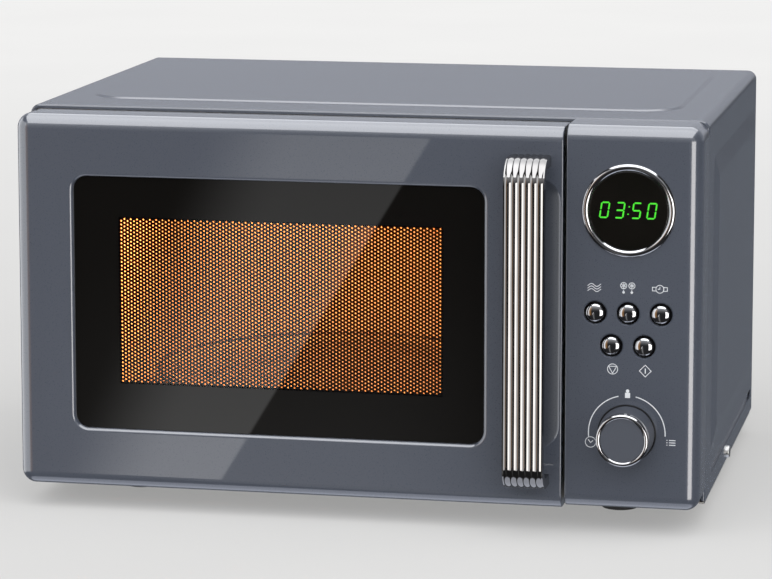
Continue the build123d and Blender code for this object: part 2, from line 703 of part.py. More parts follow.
def front_plate():
    half = HALF_W - HEM_T
    plate = block((-half, PANEL_LEFT - PANEL_GAP), (PLATE_Y, CAVITY_Y), (BASE_LOW, CASE_TOP - HEM_T))
    corner = [e for e in plate.edges().filter_by(Axis.Y).group_by(Axis.Z)[-1] if e.center().X < 0]
    plate = fillet(corner, CABINET_R - HEM_T)
    span = (PLATE_Y - CUT, CAVITY_Y + CUT)
    mouth = block((CAVITY_LEFT, CAVITY_RIGHT), span, (CAVITY_FLOOR, CAVITY_TOP))
    return plate - mouth - hook_slots(span, SLOT_SIDE_GAP, 2 * LATCH_GAP)


def oven_cavity():
    inner = block((CAVITY_LEFT, CAVITY_RIGHT), (CAVITY_Y, CAVITY_REAR), (CAVITY_FLOOR, CAVITY_TOP))
    outer = block(
        (CAVITY_LEFT - CAVITY_T, BAY_LEFT),
        (CAVITY_Y, REAR_INNER),
        (CAVITY_FLOOR - CAVITY_T, CAVITY_TOP + CAVITY_T),
    )
    wall = (CAVITY_RIGHT - CUT, BAY_LEFT + CUT)
    floor = (CAVITY_FLOOR - CAVITY_T - CUT, CAVITY_FLOOR + CUT)
    cutters = [rod_z(TABLE_X, TABLE_Y, floor, SHAFT_R + SHAFT_HOLE_GAP)]
    cutters.append(block(wall, around(GUIDE_MID_Y, PORT_D), around(GUIDE_Z, PORT_H)))
    cutters.append(rod_x(wall, FRONT + LAMP_Y, LAMP_Z, BULB_R))
    for column in range(AIR_COLUMNS):
        for row in range(AIR_ROWS):
            y = CAVITY_Y + AIR_INSET + AIR_PITCH * column
            cutters.append(rod_x(wall, y, CAVITY_TOP - AIR_INSET - AIR_PITCH * row, AIR_HOLE_R))
    return outer - inner - cutters


def waveguide_cover():
    x = (CAVITY_RIGHT - MICA_T, CAVITY_RIGHT)
    sheet = block(x, around(GUIDE_MID_Y, PORT_D + 2 * MICA_LAP), around(GUIDE_Z, PORT_H + 2 * MICA_LAP))
    return rounded(sheet, Axis.X, MICA_R)


def lamp_base_x():
    return BAY_LEFT + 2 * BULB_R


def lamp_holder():
    """Socket block on a foot that is fixed to the cavity's side."""
    x = (lamp_base_x(), lamp_base_x() + LAMP_BLOCK)
    y, z = around(FRONT + LAMP_Y, LAMP_BLOCK), around(LAMP_Z, LAMP_BLOCK)
    socket = rounded(block(x, y, z), Axis.X, LAMP_BLOCK_R)
    return socket + block((BAY_LEFT, x[1]), (y[1] - LAMP_FOOT_T, y[1]), around(LAMP_Z, LAMP_FOOT_W))


def lamp_bulb():
    """Round bulb with a straight neck that ends at the socket."""
    middle, radius, base = BAY_LEFT + BULB_R, BULB_R - BULB_GAP, lamp_base_x()
    neck_x = middle + math.sqrt(radius**2 - BULB_NECK_R**2)
    outline = [ThreePointArc((middle - radius, 0), (middle, radius), (neck_x, BULB_NECK_R))]
    outline.append(Line((neck_x, BULB_NECK_R), (base, BULB_NECK_R)))
    outline.append(Line((base, BULB_NECK_R), (base, 0)))
    outline.append(Line((base, 0), (middle - radius, 0)))
    return Pos(0, FRONT + LAMP_Y, LAMP_Z) * revolve(make_face(outline), Axis.X)


# Turntable
def turntable_motor():
    top = CAVITY_FLOOR - CAVITY_T
    body = rod_z(TABLE_X, TABLE_Y, (top - MOTOR_H, top), MOTOR_R)
    body = fillet(body.edges().group_by(Axis.Z)[0], MOTOR_EDGE_R)
    tags_x, tags_y = around(TABLE_X + MOTOR_R, MOTOR_TAG_L), around(TABLE_Y, MOTOR_TAG_W)
    body += block(tags_x, tags_y, (top - MOTOR_H + MOTOR_EDGE_R, top))
    return body - rod_z(TABLE_X, TABLE_Y, (top - MOTOR_DEPTH - CUT, top + CUT), SHAFT_R + RUN_GAP)


def turntable_coupler():
    hub = rod_z(TABLE_X, TABLE_Y, (HUB_LOW, HUB_TOP), HUB_R)
    for index in range(3):
        arm = block((0, HUB_ARM_R), around(0, HUB_ARM_W), (HUB_LOW, HUB_TOP))
        hub += Pos(TABLE_X, TABLE_Y, 0) * Rot(0, 0, 120 * index) * arm
    shaft_low = CAVITY_FLOOR - CAVITY_T - MOTOR_DEPTH
    return hub + rod_z(TABLE_X, TABLE_Y, (shaft_low, HUB_LOW), SHAFT_R)


def glass_turntable():
    rise = PLATE_RIM_H - PLATE_T
    rim_in = PLATE_R - PLATE_SLOPE
    outline = Polyline(
        (0, 0, 0),
        (rim_in, 0, 0),
        (PLATE_R, 0, rise),
        (PLATE_R, 0, PLATE_RIM_H),
        (PLATE_R - PLATE_LIP, 0, PLATE_RIM_H),
        (PLATE_R - PLATE_LIP - PLATE_SLOPE, 0, PLATE_T),
        (0, 0, PLATE_T),
        close=True,
    )
    dish = Pos(TABLE_X, TABLE_Y, PLATE_LOW) * revolve(make_face(outline), Axis.Z)
    for index in range(3):
        lug = block((HUB_R + LUG_ROOM, HUB_ARM_R), around(0, LUG_W), (PLATE_LOW - LUG_H, PLATE_LOW + CUT))
        dish += Pos(TABLE_X, TABLE_Y, 0) * Rot(0, 0, 60 + 120 * index) * lug
    return dish


def roller_ring():
    ring = Pos(TABLE_X, TABLE_Y, ROLLER_Z) * Torus(RING_R, RING_WIRE_R)
    head_x = ROLLER_TRACK_R + ROLLER_W / 2 + ROLL_GAP
    for index in range(ROLLER_COUNT):
        axle = rod_x((RING_R, head_x), 0, ROLLER_Z, AXLE_R)
        collar = rod_x((RING_R, ROLLER_TRACK_R - ROLLER_W / 2 - ROLL_GAP), 0, ROLLER_Z, AXLE_R + AXLE_STEP)
        head = rod_x((head_x, head_x + AXLE_HEAD_L), 0, ROLLER_Z, AXLE_R + AXLE_STEP)
        ring += Pos(TABLE_X, TABLE_Y, 0) * Rot(0, 0, roller_angle(index)) * (axle + collar + head)
    return ring


def roller_angle(index):
    return 90 + index * 360 / ROLLER_COUNT


def roller(index):
    x = around(ROLLER_TRACK_R, ROLLER_W)
    wheel = rod_x(x, 0, ROLLER_Z, ROLLER_R)
    wheel = fillet(wheel.edges().filter_by(GeomType.CIRCLE), ROLLER_EDGE_R)
    wheel -= rod_x((x[0] - CUT, x[1] + CUT), 0, ROLLER_Z, AXLE_R + RUN_GAP)
    return Pos(TABLE_X, TABLE_Y, 0) * Rot(0, 0, roller_angle(index)) * wheel


# Equipment bay
def waveguide():
    y, z = around(GUIDE_MID_Y, GUIDE_D), around(GUIDE_Z, GUIDE_H)
    hollow = block(
        (BAY_LEFT - CUT, YOKE_X - GUIDE_T),
        (y[0] + GUIDE_T, y[1] - GUIDE_T),
        (z[0] + GUIDE_T, z[1] - GUIDE_T),
    )
    wall_x = (YOKE_X - GUIDE_T - CUT, YOKE_X + CUT)
    antenna_hole = rod_x(wall_x, GUIDE_MID_Y, GUIDE_Z, ANTENNA_R + ANTENNA_GAP)
    return block((BAY_LEFT, YOKE_X), y, z) - hollow - antenna_hole


def magnetron_yoke():
    x, z = (YOKE_X, YOKE_X + YOKE_W), around(GUIDE_Z, GUIDE_H)
    y = around(GUIDE_MID_Y, YOKE_D)
    hollow_x = (x[0] + YOKE_T, x[1] - YOKE_T)
    frame = block(x, y, z) - block(hollow_x, (y[0] - CUT, y[1] + CUT), (z[0] + YOKE_T, z[1] - YOKE_T))
    box_x = (x[1], x[1] + FILTER_BOX_W)
    frame += block(box_x, around(GUIDE_MID_Y, FILTER_BOX), around(GUIDE_Z, FILTER_BOX))
    return frame - rod_x((x[0] - CUT, hollow_x[0] + CUT), GUIDE_MID_Y, GUIDE_Z, ANTENNA_R + RUN_GAP)


def magnetron_fins():
    x = (YOKE_X + YOKE_T, YOKE_X + YOKE_W - YOKE_T)
    stack = rod_x(x, GUIDE_MID_Y, GUIDE_Z, ANODE_R)
    pitch = (x[1] - x[0]) / (FIN_COUNT + 1)
    z = around(GUIDE_Z, GUIDE_H - 2 * YOKE_T)
    for index in range(1, FIN_COUNT + 1):
        stack += block(around(x[0] + index * pitch, FIN_T), around(GUIDE_MID_Y, FIN_D), z)
    return stack


def magnetron_antenna():
    dome = YOKE_X + YOKE_T - ANTENNA_L
    tube = rod_x((dome, YOKE_X + YOKE_T), GUIDE_MID_Y, GUIDE_Z, ANTENNA_R)
    return fillet(tube.edges().group_by(Axis.X)[0], ANTENNA_EDGE_R)


def core_place():
    """Spans of the transformer core, which stands on the base plate under the magnetron."""
    x = around(BAY_MID + CORE_ASIDE, CORE_W)
    return x, around(FRONT + CORE_Y, CORE_D), (BASE_TOP, BASE_TOP + CORE_H)


def core_windows():
    x, y, z = core_place()
    window_w = CORE_W / 2 - 2 * CORE_LIMB
    span_z = (z[0] + CORE_LIMB, z[1] - CORE_LIMB)
    lefts = (x[0] + CORE_LIMB, x[1] - CORE_LIMB - window_w)
    return [block((left, left + window_w), (y[0] - CUT, y[1] + CUT), span_z) for left in lefts]


def transformer_core():
    return block(*core_place()) - core_windows()


def transformer_coils():
    """Two windings, one above the other, around the core's middle limb."""
    x, y, z = core_place()
    outer_x = (x[0] + CORE_LIMB + COIL_GAP, x[1] - CORE_LIMB - COIL_GAP)
    limb_x = around((x[0] + x[1]) / 2, 2 * CORE_LIMB + 2 * COIL_GAP)
    limb_y = (y[0] - COIL_GAP, y[1] + COIL_GAP)
    low, high = z[0] + CORE_LIMB, z[1] - CORE_LIMB
    middle = (low + high) / 2
    coils = []
    for span in ((low, middle - COIL_GAP), (middle + COIL_GAP, high)):
        coil = block(outer_x, (y[0] - COIL_OUT, y[1] + COIL_OUT), span)
        coil = rounded(coil, Axis.Z, COIL_R)
        coils.append(coil - block(limb_x, limb_y, (low - CUT, high + CUT)))
    return Compound(children=coils)


CAP_X = (BAY_LEFT + CAP_FROM_CAVITY, BAY_LEFT + CAP_FROM_CAVITY + CAP_W)
CAP_SPAN_Y = around(FRONT + CAP_Y, CAP_D)


def capacitor_blank(grown, z):
    x = (CAP_X[0] - grown, CAP_X[1] + grown)
    blank = block(x, (CAP_SPAN_Y[0] - grown, CAP_SPAN_Y[1] + grown), z)
    return rounded(blank, Axis.Z, CAP_R + grown)


def hv_capacitor():
    can = capacitor_blank(0, (BASE_TOP, BASE_TOP + CAP_H))
    middle_x = (CAP_X[0] + CAP_X[1]) / 2
    top = BASE_TOP + CAP_H
    for y in around(FRONT + CAP_Y, TAG_PITCH):
        can += block(around(middle_x, TAG_T), around(y, TAG_W), (top, top + TAG_H))
    return can


def capacitor_clamp():
    y, z = around(FRONT + CAP_Y, STRAP_W), around(BASE_TOP + CLAMP_Z, CLAMP_H)
    band = capacitor_blank(CLAMP_T, z) - capacitor_blank(0, z)
    strap = block((CAP_X[1], CAP_X[1] + CLAMP_T), y, (BASE_TOP, z[1]))
    return band + strap + block((CAP_X[1], CAP_X[1] + STRAP_L), y, (BASE_TOP, BASE_TOP + CLAMP_T))


def hv_diode():
    x, z = CAP_X[1] + DIODE_R, BASE_TOP + DIODE_Z
    body = rod_y(x, around(FRONT + CAP_Y, DIODE_L), z, DIODE_R)
    return body + rod_y(x, around(FRONT + CAP_Y, LEAD_L), z, LEAD_R)


def fan_duct():
    """Round shroud with a back plate that stands on the base plate and carries the motor on two bars."""
    hole_r = FAN_R + FAN_GAP
    plate_y = (FAN_Y - DUCT_T, FAN_Y)
    plate = block((BAY_LEFT, INNER_W - DUCT_SIDE_GAP), plate_y, (BASE_TOP, FAN_Z + hole_r + DUCT_OVER))
    ring = rod_y(BAY_MID, (FAN_Y - DUCT_T, FAN_Y + DUCT_L), FAN_Z, hole_r + DUCT_T)
    duct = plate + ring - rod_y(BAY_MID, (FAN_Y - DUCT_T - CUT, FAN_Y + DUCT_L + CUT), FAN_Z, hole_r)
    for z in around(FAN_Z, DUCT_BAR_PITCH):
        duct += block(around(BAY_MID, 2 * hole_r + DUCT_T), plate_y, around(z, DUCT_BAR))
    return duct


def fan_motor():
    y = (FAN_Y - DUCT_T - FAN_MOTOR_D, FAN_Y - DUCT_T)
    stack = rounded(block(around(BAY_MID, FAN_MOTOR_W), y, around(FAN_Z, FAN_MOTOR_H)), Axis.Y, FAN_MOTOR_R)
    coil = rod_x(around(BAY_MID - FAN_MOTOR_W / 2, FAN_COIL_L), (y[0] + y[1]) / 2, FAN_Z, FAN_MOTOR_D / 2)
    return stack + coil - rod_y(BAY_MID, (y[0] + FAN_BEARING, y[1] + CUT), FAN_Z, FAN_SHAFT_R + RUN_GAP)


def fan_blade():
    """Hub, shaft and pitched blades."""
    hub_y = (FAN_Y + FAN_HUB_GAP, FAN_Y + FAN_W)
    shaft_end = FAN_Y - DUCT_T - FAN_MOTOR_D + FAN_BEARING + FAN_HUB_GAP
    hub = rod_y(BAY_MID, hub_y, FAN_Z, FAN_HUB_R) + rod_y(BAY_MID, (shaft_end, hub_y[0]), FAN_Z, FAN_SHAFT_R)
    middle = (hub_y[0] + hub_y[1]) / 2
    blade_l = FAN_R - FAN_HUB_R
    blade = Rot(BLADE_PITCH, 0, 0) * Box(blade_l, BLADE_T, BLADE_W)
    blade = Pos(FAN_HUB_R - BLADE_IN + blade_l / 2, 0, 0) * blade
    for index in range(FAN_BLADES):
        hub += Pos(BAY_MID, middle, FAN_Z) * Rot(0, index * 360 / FAN_BLADES, 0) * blade
    return hub


def thermal_cutouts():
    """A cut-out on the cavity's roof and one on the magnetron."""
    on_roof = (TABLE_X + CUTOUT_X, TABLE_Y, CAVITY_TOP + CAVITY_T)
    on_yoke = (YOKE_X + YOKE_W / 2, GUIDE_MID_Y, GUIDE_Z + GUIDE_H / 2)
    pieces = []
    for x, y, z in (on_roof, on_yoke):
        tags = block(around(x, TAG_T), around(y, CUTOUT_TAG_W), (z + CUTOUT_H / 2, z + TAG_H))
        pieces.append(rod_z(x, y, (z, z + CUTOUT_H), CUTOUT_R) + tags)
    return Compound(children=pieces)


def filter_board():
    """Mains filter board with its fuse, on four posts at the cavity's side."""
    back, middle = BAY_LEFT + FILTER_STAND, FRONT + LAMP_Y
    face = back + BOARD_T
    board = block((back, face), around(middle, FILTER_D), around(FILTER_Z, FILTER_H))
    for post_y in around(middle, FILTER_D - 2 * FILTER_POST_IN):
        for post_z in around(FILTER_Z, FILTER_H - 2 * FILTER_POST_IN):
            board += rod_x((BAY_LEFT, back), post_y, post_z, FILTER_POST_R)
    upper = FILTER_Z + FILTER_H / 6
    board += rod_x((face, face + CHOKE_COIL_L), middle - CHOKE_COIL_R, upper, CHOKE_COIL_R)
    cap_y = around(middle + FILTER_CAP_D, FILTER_CAP_D)
    board += block((face, face + FILTER_CAP_W), cap_y, around(upper, FILTER_CAP_H))
    return board + rod_z(face + FUSE_R - SEAT, middle, around(FILTER_Z - FILTER_H / 3.5, FUSE_L), FUSE_R)


# Door
def door_window(grown, y):
    x = (WINDOW_LEFT - grown, WINDOW_RIGHT + grown)
    blank = block(x, y, (WINDOW_BOTTOM - grown, WINDOW_TOP + grown))
    return rounded(blank, Axis.Y, WINDOW_R + grown / 2)


def hinge_arm_z(upper):
    """Span of a hinge arm, inside the door's upper or lower edge."""
    if upper:
        return (DOOR_TOP - ARM_FROM_END - ARM_T, DOOR_TOP - ARM_FROM_END)
    return (DOOR_BOTTOM + ARM_FROM_END, DOOR_BOTTOM + ARM_FROM_END + ARM_T)


def hinge_boss_z(upper):
    arm = hinge_arm_z(upper)
    if upper:
        return (arm[1] + HINGE_GAP, DOOR_TOP - DOOR_WALL)
    return (DOOR_BOTTOM + DOOR_WALL, arm[0] - HINGE_GAP)


def finger_recess(grown):
    """Scoop behind the handle for the fingers: a long round-ended hollow, or that grown by a wall."""
    radius = (RECESS_W**2 / 4 + RECESS_DEPTH**2) / (2 * RECESS_DEPTH)
    x, y = (RECESS_LEFT + RECESS_RIGHT) / 2, FRONT + RECESS_DEPTH - radius
    ends = (RECESS_BOTTOM + RECESS_W / 2, RECESS_TOP - RECESS_W / 2)
    scoop = rod_z(x, y, ends, radius + grown)
    return scoop + [Pos(x, y, z) * Sphere(radius + grown) for z in ends]


def door_frame():
    x, z = (DOOR_LEFT, DOOR_R_EDGE), (DOOR_BOTTOM, DOOR_TOP)
    y = (FRONT, DOOR_BACK)
    frame = front_cover(x, y, z, True)
    back_edges = frame.edges().group_by(Axis.Y)[-1]
    frame = fillet([e for e in back_edges if e.center().X < DOOR_LEFT + CORNER_R / 2], DOOR_BACK_R)
    frame -= front_cover(x, y, z, True, DOOR_WALL, DOOR_FACE)
    inside = FRONT + DOOR_FACE
    frame -= door_window(0, (FRONT - CUT, inside + CUT))
    mouth = frame.edges().group_by(Axis.Y)[0]
    mouth = [e for e in mouth if WINDOW_BOTTOM - CUT < e.center().Z < WINDOW_TOP + CUT]
    mouth = [e for e in mouth if WINDOW_LEFT - CUT < e.center().X < WINDOW_RIGHT + CUT]
    frame = fillet(mouth, WINDOW_EDGE_R)
    frame += finger_recess(RECESS_WALL) & block(x, (FRONT + DOOR_FACE / 2, DOOR_BACK), z)
    for boss_x in (TRAY_X[0] + BOSS_INSET, TRAY_X[1] - BOSS_INSET):
        for boss_z in (TRAY_Z[0] + BOSS_INSET, TRAY_Z[1] - BOSS_INSET):
            frame += rod_y(boss_x, (inside - SEAT, TRAY_Y), boss_z, BOSS_R)
    for upper in (False, True):
        boss_z = hinge_boss_z(upper)
        boss = rod_z(PIVOT_X, PIVOT_Y, boss_z, HINGE_BOSS_R)
        frame += boss & block((DOOR_LEFT + DOOR_WALL / 2, PIVOT_X + HINGE_BOSS_R), y, boss_z)
        frame -= rod_z(PIVOT_X, PIVOT_Y, boss_z, PIN_R + RUN_GAP)
        arm = hinge_arm_z(upper)
        room = (arm[0] - HINGE_GAP, arm[1] + HINGE_GAP)
        frame -= block((DOOR_LEFT - CUT, PIVOT_X + HINGE_BOSS_R), (PIVOT_Y - PIVOT_IN, DOOR_BACK + CUT), room)
    guide_x = LATCH_BAR_W / 2 + LATCH_GAP
    guide_y = (inside - SEAT, latch_bar_y()[1])
    for side in (-1, 1):
        x_span = sorted((LATCH_X + side * guide_x, LATCH_X + side * (guide_x + GUIDE_RIB_T)))
        for guide_z in around((HOOK_LOW_Z + HOOK_HIGH_Z) / 2, GUIDE_RIB_PITCH):
            frame += block(x_span, guide_y, around(guide_z, GUIDE_RIB_L))
    frame += block(around(LATCH_X, LATCH_STOP_W), guide_y, spring_stop_z())
    frame -= finger_recess(0)
    return frame - [rod_y(HANDLE_X, (FRONT - CUT, inside + CUT), z, SCREW_HOLE_R) for z in handle_screw_zs()]


def door_glass():
    return door_window(GLASS_LAP, (FRONT + DOOR_FACE, FRONT + DOOR_FACE + GLASS_T))


def view_opening(y):
    return block(
        (FIELD_LEFT - VIEW_MARGIN, FIELD_RIGHT + VIEW_MARGIN),
        y,
        (FIELD_BOTTOM - VIEW_MARGIN, FIELD_TOP + VIEW_MARGIN),
    )


def door_screen():
    """Pressed tray whose face holds the perforated field."""
    tray = block(TRAY_X, (TRAY_Y, DOOR_BACK), TRAY_Z)
    hollow = block(
        (TRAY_X[0] + SCREEN_T, TRAY_X[1] - SCREEN_T),
        (TRAY_Y + SCREEN_T, DOOR_BACK + CUT),
        (TRAY_Z[0] + SCREEN_T, TRAY_Z[1] - SCREEN_T),
    )
    return tray - hollow


def door_choke():
    """Inner cover of the door, with a wall around the view opening and slots for the hooks."""
    y = (DOOR_BACK, DOOR_BACK + CHOKE_T)
    x = (TRAY_X[0], DOOR_R_EDGE - DOOR_WALL / 2)
    cover = block(x, y, (DOOR_BOTTOM + DOOR_WALL / 2, DOOR_TOP - DOOR_WALL / 2))
    cover = rounded(cover, Axis.Y, CHOKE_R)
    back = (TRAY_Y + SCREEN_T, y[1])
    wall = block(
        (FIELD_LEFT - VIEW_MARGIN - CHOKE_WALL, FIELD_RIGHT + VIEW_MARGIN + CHOKE_WALL),
        back,
        (FIELD_BOTTOM - VIEW_MARGIN - CHOKE_WALL, FIELD_TOP + VIEW_MARGIN + CHOKE_WALL),
    )
    through = (back[0] - CUT, y[1] + CUT)
    return cover + wall - view_opening(through) - hook_slots(through, CHOKE_SIDE_GAP, LATCH_GAP)


def handle_screw_zs():
    return (HANDLE_BOTTOM + HANDLE_SCREW_IN, HANDLE_TOP - HANDLE_SCREW_IN)


def handle_bar():
    """Ribbed strip that is bent back to the door at both ends, swept along its back line."""
    thick = HANDLE_T + RIB_H
    back_y = FRONT - HANDLE_REACH + thick
    low, high = HANDLE_BOTTOM + thick, HANDLE_TOP - thick
    corners = [(HANDLE_X, y, high) for y in (FRONT, back_y)]
    corners += [(HANDLE_X, y, low) for y in (back_y, FRONT)]
    path = FilletPolyline(*corners, radius=HANDLE_BEND_R - thick)
    width = RIB_COUNT * RIB_PITCH
    half = width / 2 + HANDLE_BORDER
    section = [Line((half, HANDLE_T), (half, 0)), Line((half, 0), (-half, 0))]
    section += [Line((-half, 0), (-half, HANDLE_T)), Line((-half, HANDLE_T), (-width / 2, HANDLE_T))]
    for index in range(RIB_COUNT):
        left = -width / 2 + index * RIB_PITCH
        crest = (left + RIB_PITCH / 2, HANDLE_T + RIB_H)
        section.append(ThreePointArc((left, HANDLE_T), crest, (left + RIB_PITCH, HANDLE_T)))
    section.append(Line((width / 2, HANDLE_T), (half, HANDLE_T)))
    start = Plane(origin=corners[0], x_dir=(1, 0, 0), z_dir=(0, -1, 0))
    bar = sweep(start * make_face(section), path=path)
    hole_y = (FRONT - HANDLE_SCREW_L - CUT, FRONT + CUT)
    return bar - [rod_y(HANDLE_X, hole_y, z, HANDLE_SCREW_R + RUN_GAP) for z in handle_screw_zs()]


def handle_screws():
    inside = FRONT + DOOR_FACE
    pieces = []
    for z in handle_screw_zs():
        head = rod_y(HANDLE_X, (inside, inside + SCREW_HEAD_H), z, SCREW_HEAD_R)
        pieces.append(head + rod_y(HANDLE_X, (FRONT - HANDLE_SCREW_L, inside), z, HANDLE_SCREW_R))
    return Compound(children=pieces)


# Hinges
def hinge(upper):
    """Bracket on the front plate with an arm and a pin that carries the door."""
    arm_z = hinge_arm_z(upper)
    face = PLATE_Y - HINGE_PLATE_T
    x = (PIVOT_X - ARM_HALF_W, PIVOT_X + ARM_HALF_W)
    arm = block(x, (PIVOT_Y, PLATE_Y), arm_z) + rod_z(PIVOT_X, PIVOT_Y, arm_z, ARM_HALF_W)
    foot = (arm_z[1] - HINGE_PLATE_H, arm_z[1]) if upper else (arm_z[0], arm_z[0] + HINGE_PLATE_H)
    boss = hinge_boss_z(upper)
    pin = (arm_z[1], boss[1] - HINGE_GAP) if upper else (boss[0] + HINGE_GAP, arm_z[0])
    return arm + block(x, (face, PLATE_Y), foot) + rod_z(PIVOT_X, PIVOT_Y, pin, PIN_R)


# Latch and interlock
def latch_bar_y():
    start = FRONT + DOOR_FACE + LATCH_BAR_IN
    return (start, start + LATCH_BAR_D)


def latch_top():
    return HOOK_HIGH_Z + HOOK_H / 2 + LATCH_END


def spring_stop_z():
    low = latch_top() + SPRING_L
    return (low, low + LATCH_STOP_T)


def door_latch():
    """Sprung bar with two hooks that reach through the front plate."""
    y = latch_bar_y()
    latch = block(around(LATCH_X, LATCH_BAR_W), y, (HOOK_LOW_Z - HOOK_H, latch_top()))
    for z in HOOK_ZS:
        x, span = around(LATCH_X, LATCH_W), around(z, HOOK_H)
        latch += block(x, (y[1], HOOK_TIP), span)
        latch += block(x, (HOOK_TIP - NOSE_L, HOOK_TIP), (span[0] - HOOK_NOSE, span[0]))
    return latch


def latch_spring():
    """Return spring between the latch bar and the stop in the door."""
    y = sum(latch_bar_y()) / 2
    rise = SPRING_L - 2 * SPRING_SEAT
    coil = Helix(rise / SPRING_TURNS, rise, SPRING_R)
    wire = Plane(origin=coil @ 0, z_dir=coil % 0) * Circle(SPRING_WIRE_R)
    return Pos(LATCH_X, y, latch_top() + SPRING_SEAT) * sweep(wire, path=coil, is_frenet=True)


def interlock_bracket():
    x = (BRACKET_X, BRACKET_X + BRACKET_T)
    low = SWITCH_BODY_LOW["plunger_monitor"] - BRACKET_END
    z = (low, HOOK_HIGH_Z + SWITCH_H / 2 + BRACKET_END)
    wall = block(x, (CAVITY_Y, SWITCH_Y + SWITCH_D), z)
    wall += block((x[0], PANEL_LEFT - PANEL_GAP), (CAVITY_Y, CAVITY_Y + BRACKET_FLANGE), z)
    for hook_z in HOOK_ZS:
        nose = hook_z - HOOK_H / 2 - HOOK_NOSE - LATCH_GAP
        ledge_x = (LATCH_X - LATCH_W / 2, BRACKET_X)
        wall += block(ledge_x, (CAVITY_Y + BRACKET_FLANGE, HOOK_TIP), (nose - LEDGE_T, nose))
    return wall


def interlock_switches():
    pieces = []
    y = (SWITCH_Y, SWITCH_Y + SWITCH_D)
    for name, low in SWITCH_BODY_LOW.items():
        body = block((BRACKET_X - SWITCH_W, BRACKET_X), y, (low, low + SWITCH_H))
        body = rounded(body, Axis.X, SWITCH_R)
        bore = (y[0] - CUT, y[0] + PLUNGER_IN + PLUNGER_TRAVEL + CUT)
        pieces.append(body - rod_y(LATCH_X, bore, SWITCH_PLACES[name], PLUNGER_R + RUN_GAP))
    return Compound(children=pieces)


def plunger(name):
    tip = SWITCH_Y - PLUNGER_OUT
    return rod_y(LATCH_X, (tip, SWITCH_Y + PLUNGER_IN), SWITCH_PLACES[name], PLUNGER_R)


# Control panel
def control_panel():
    x, y, z = (PANEL_LEFT, HALF_W), (PANEL_Y, CABINET_Y), (PANEL_BOTTOM, PANEL_TOP)
    panel = front_cover(x, y, z, False) - front_cover(x, y, z, False, DOOR_WALL, PANEL_FACE)
    through = (PANEL_Y - CUT, PANEL_IN + CUT)
    panel -= [rod_y(PANEL_X, through, DISPLAY_Z, BEZEL_BORE_R + BEZEL_SLEEVE + LENS_GAP)]
    panel -= [rod_y(PANEL_X, through, KNOB_Z, SPINDLE_R + SPINDLE_HOLE_GAP)]
    panel -= [rod_y(bx, through, bz, BUTTON_HOLE_R) for bx, bz in BUTTON_PLACES.values()]
    rings = [e for e in panel.edges().filter_by(GeomType.CIRCLE) if abs(e.center().Y - PANEL_Y) < TOL]
    panel = chamfer([e for e in rings if abs(e.radius - BUTTON_HOLE_R) < TOL], HOLE_CHAMFER)
    (left, right), (low, high) = board_span_x(), board_span_z()
    for post_x in (left + POST_INSET, right - POST_INSET):
        for post_z in (low + POST_INSET, high - POST_INSET):
            panel += rod_y(post_x, (PANEL_IN - SEAT, BOARD_Y), post_z, BOSS_R)
    return panel


def board_span_x():
    return (PANEL_LEFT + BOARD_MARGIN, HALF_W - 1.5 * BOARD_MARGIN)


def board_span_z():
    return (PANEL_BOTTOM + 3 * BOARD_MARGIN, PANEL_TOP - 3 * BOARD_MARGIN)


def control_board():
    """Printed board with a key switch behind each button."""
    board = block(board_span_x(), (BOARD_Y, BOARD_Y + BOARD_T), board_span_z())
    for x, z in BUTTON_PLACES.values():
        key = button_stem_end() + BUTTON_TRAVEL + BUTTON_GAP
        board += block(around(x, KEY_W), (key, BOARD_Y), around(z, KEY_W))
    back = BOARD_Y + BOARD_T
    return board + block(around(PANEL_X, RELAY_W), (back, back + RELAY_D), around(KNOB_Z + RELAY_UP, RELAY_H))


def display_bezel():
    """Rounded ring that stands on the panel, with a sleeve through it."""
    sleeve_r = BEZEL_BORE_R + BEZEL_SLEEVE
    foot = [(BEZEL_BORE_R, 0), (BEZEL_BORE_R, -PANEL_FACE), (sleeve_r, -PANEL_FACE)]
    foot += [(sleeve_r, 0), (BEZEL_R, 0)]
    return turned(foot, PANEL_X, PANEL_Y, DISPLAY_Z, BEZEL_H)


def lens_face_y():
    return PANEL_Y - BEZEL_H + LENS_RECESS


def display_lens():
    face = lens_face_y()
    disc = rod_y(PANEL_X, (face, face + LENS_T), DISPLAY_Z, BEZEL_BORE_R - LENS_GAP)
    return fillet(disc.edges().group_by(Axis.Y)[0], LENS_EDGE_R)


def display_module():
    y = (lens_face_y() + LENS_T, BOARD_Y)
    half_w = math.sqrt((BEZEL_BORE_R - MODULE_GAP) ** 2 - (MODULE_H / 2) ** 2)
    return block(around(PANEL_X, 2 * half_w), y, around(DISPLAY_Z, MODULE_H))


def rotary_encoder():
    y = (BOARD_Y - ENCODER_H, BOARD_Y)
    body = block(around(PANEL_X, ENCODER_W), y, around(KNOB_Z, ENCODER_W))
    bush = rod_y(PANEL_X, (PANEL_IN + BUSH_GAP, y[0]), KNOB_Z, SPINDLE_R + BUSH_T)
    bore_y = (PANEL_IN, BOARD_Y - SPINDLE_END / 2)
    return body + bush - rod_y(PANEL_X, bore_y, KNOB_Z, SPINDLE_R + RUN_GAP)


def encoder_spindle():
    return rod_y(PANEL_X, (PANEL_Y - KNOB_GAP - SPINDLE_GRIP, BOARD_Y - SPINDLE_END), KNOB_Z, SPINDLE_R)


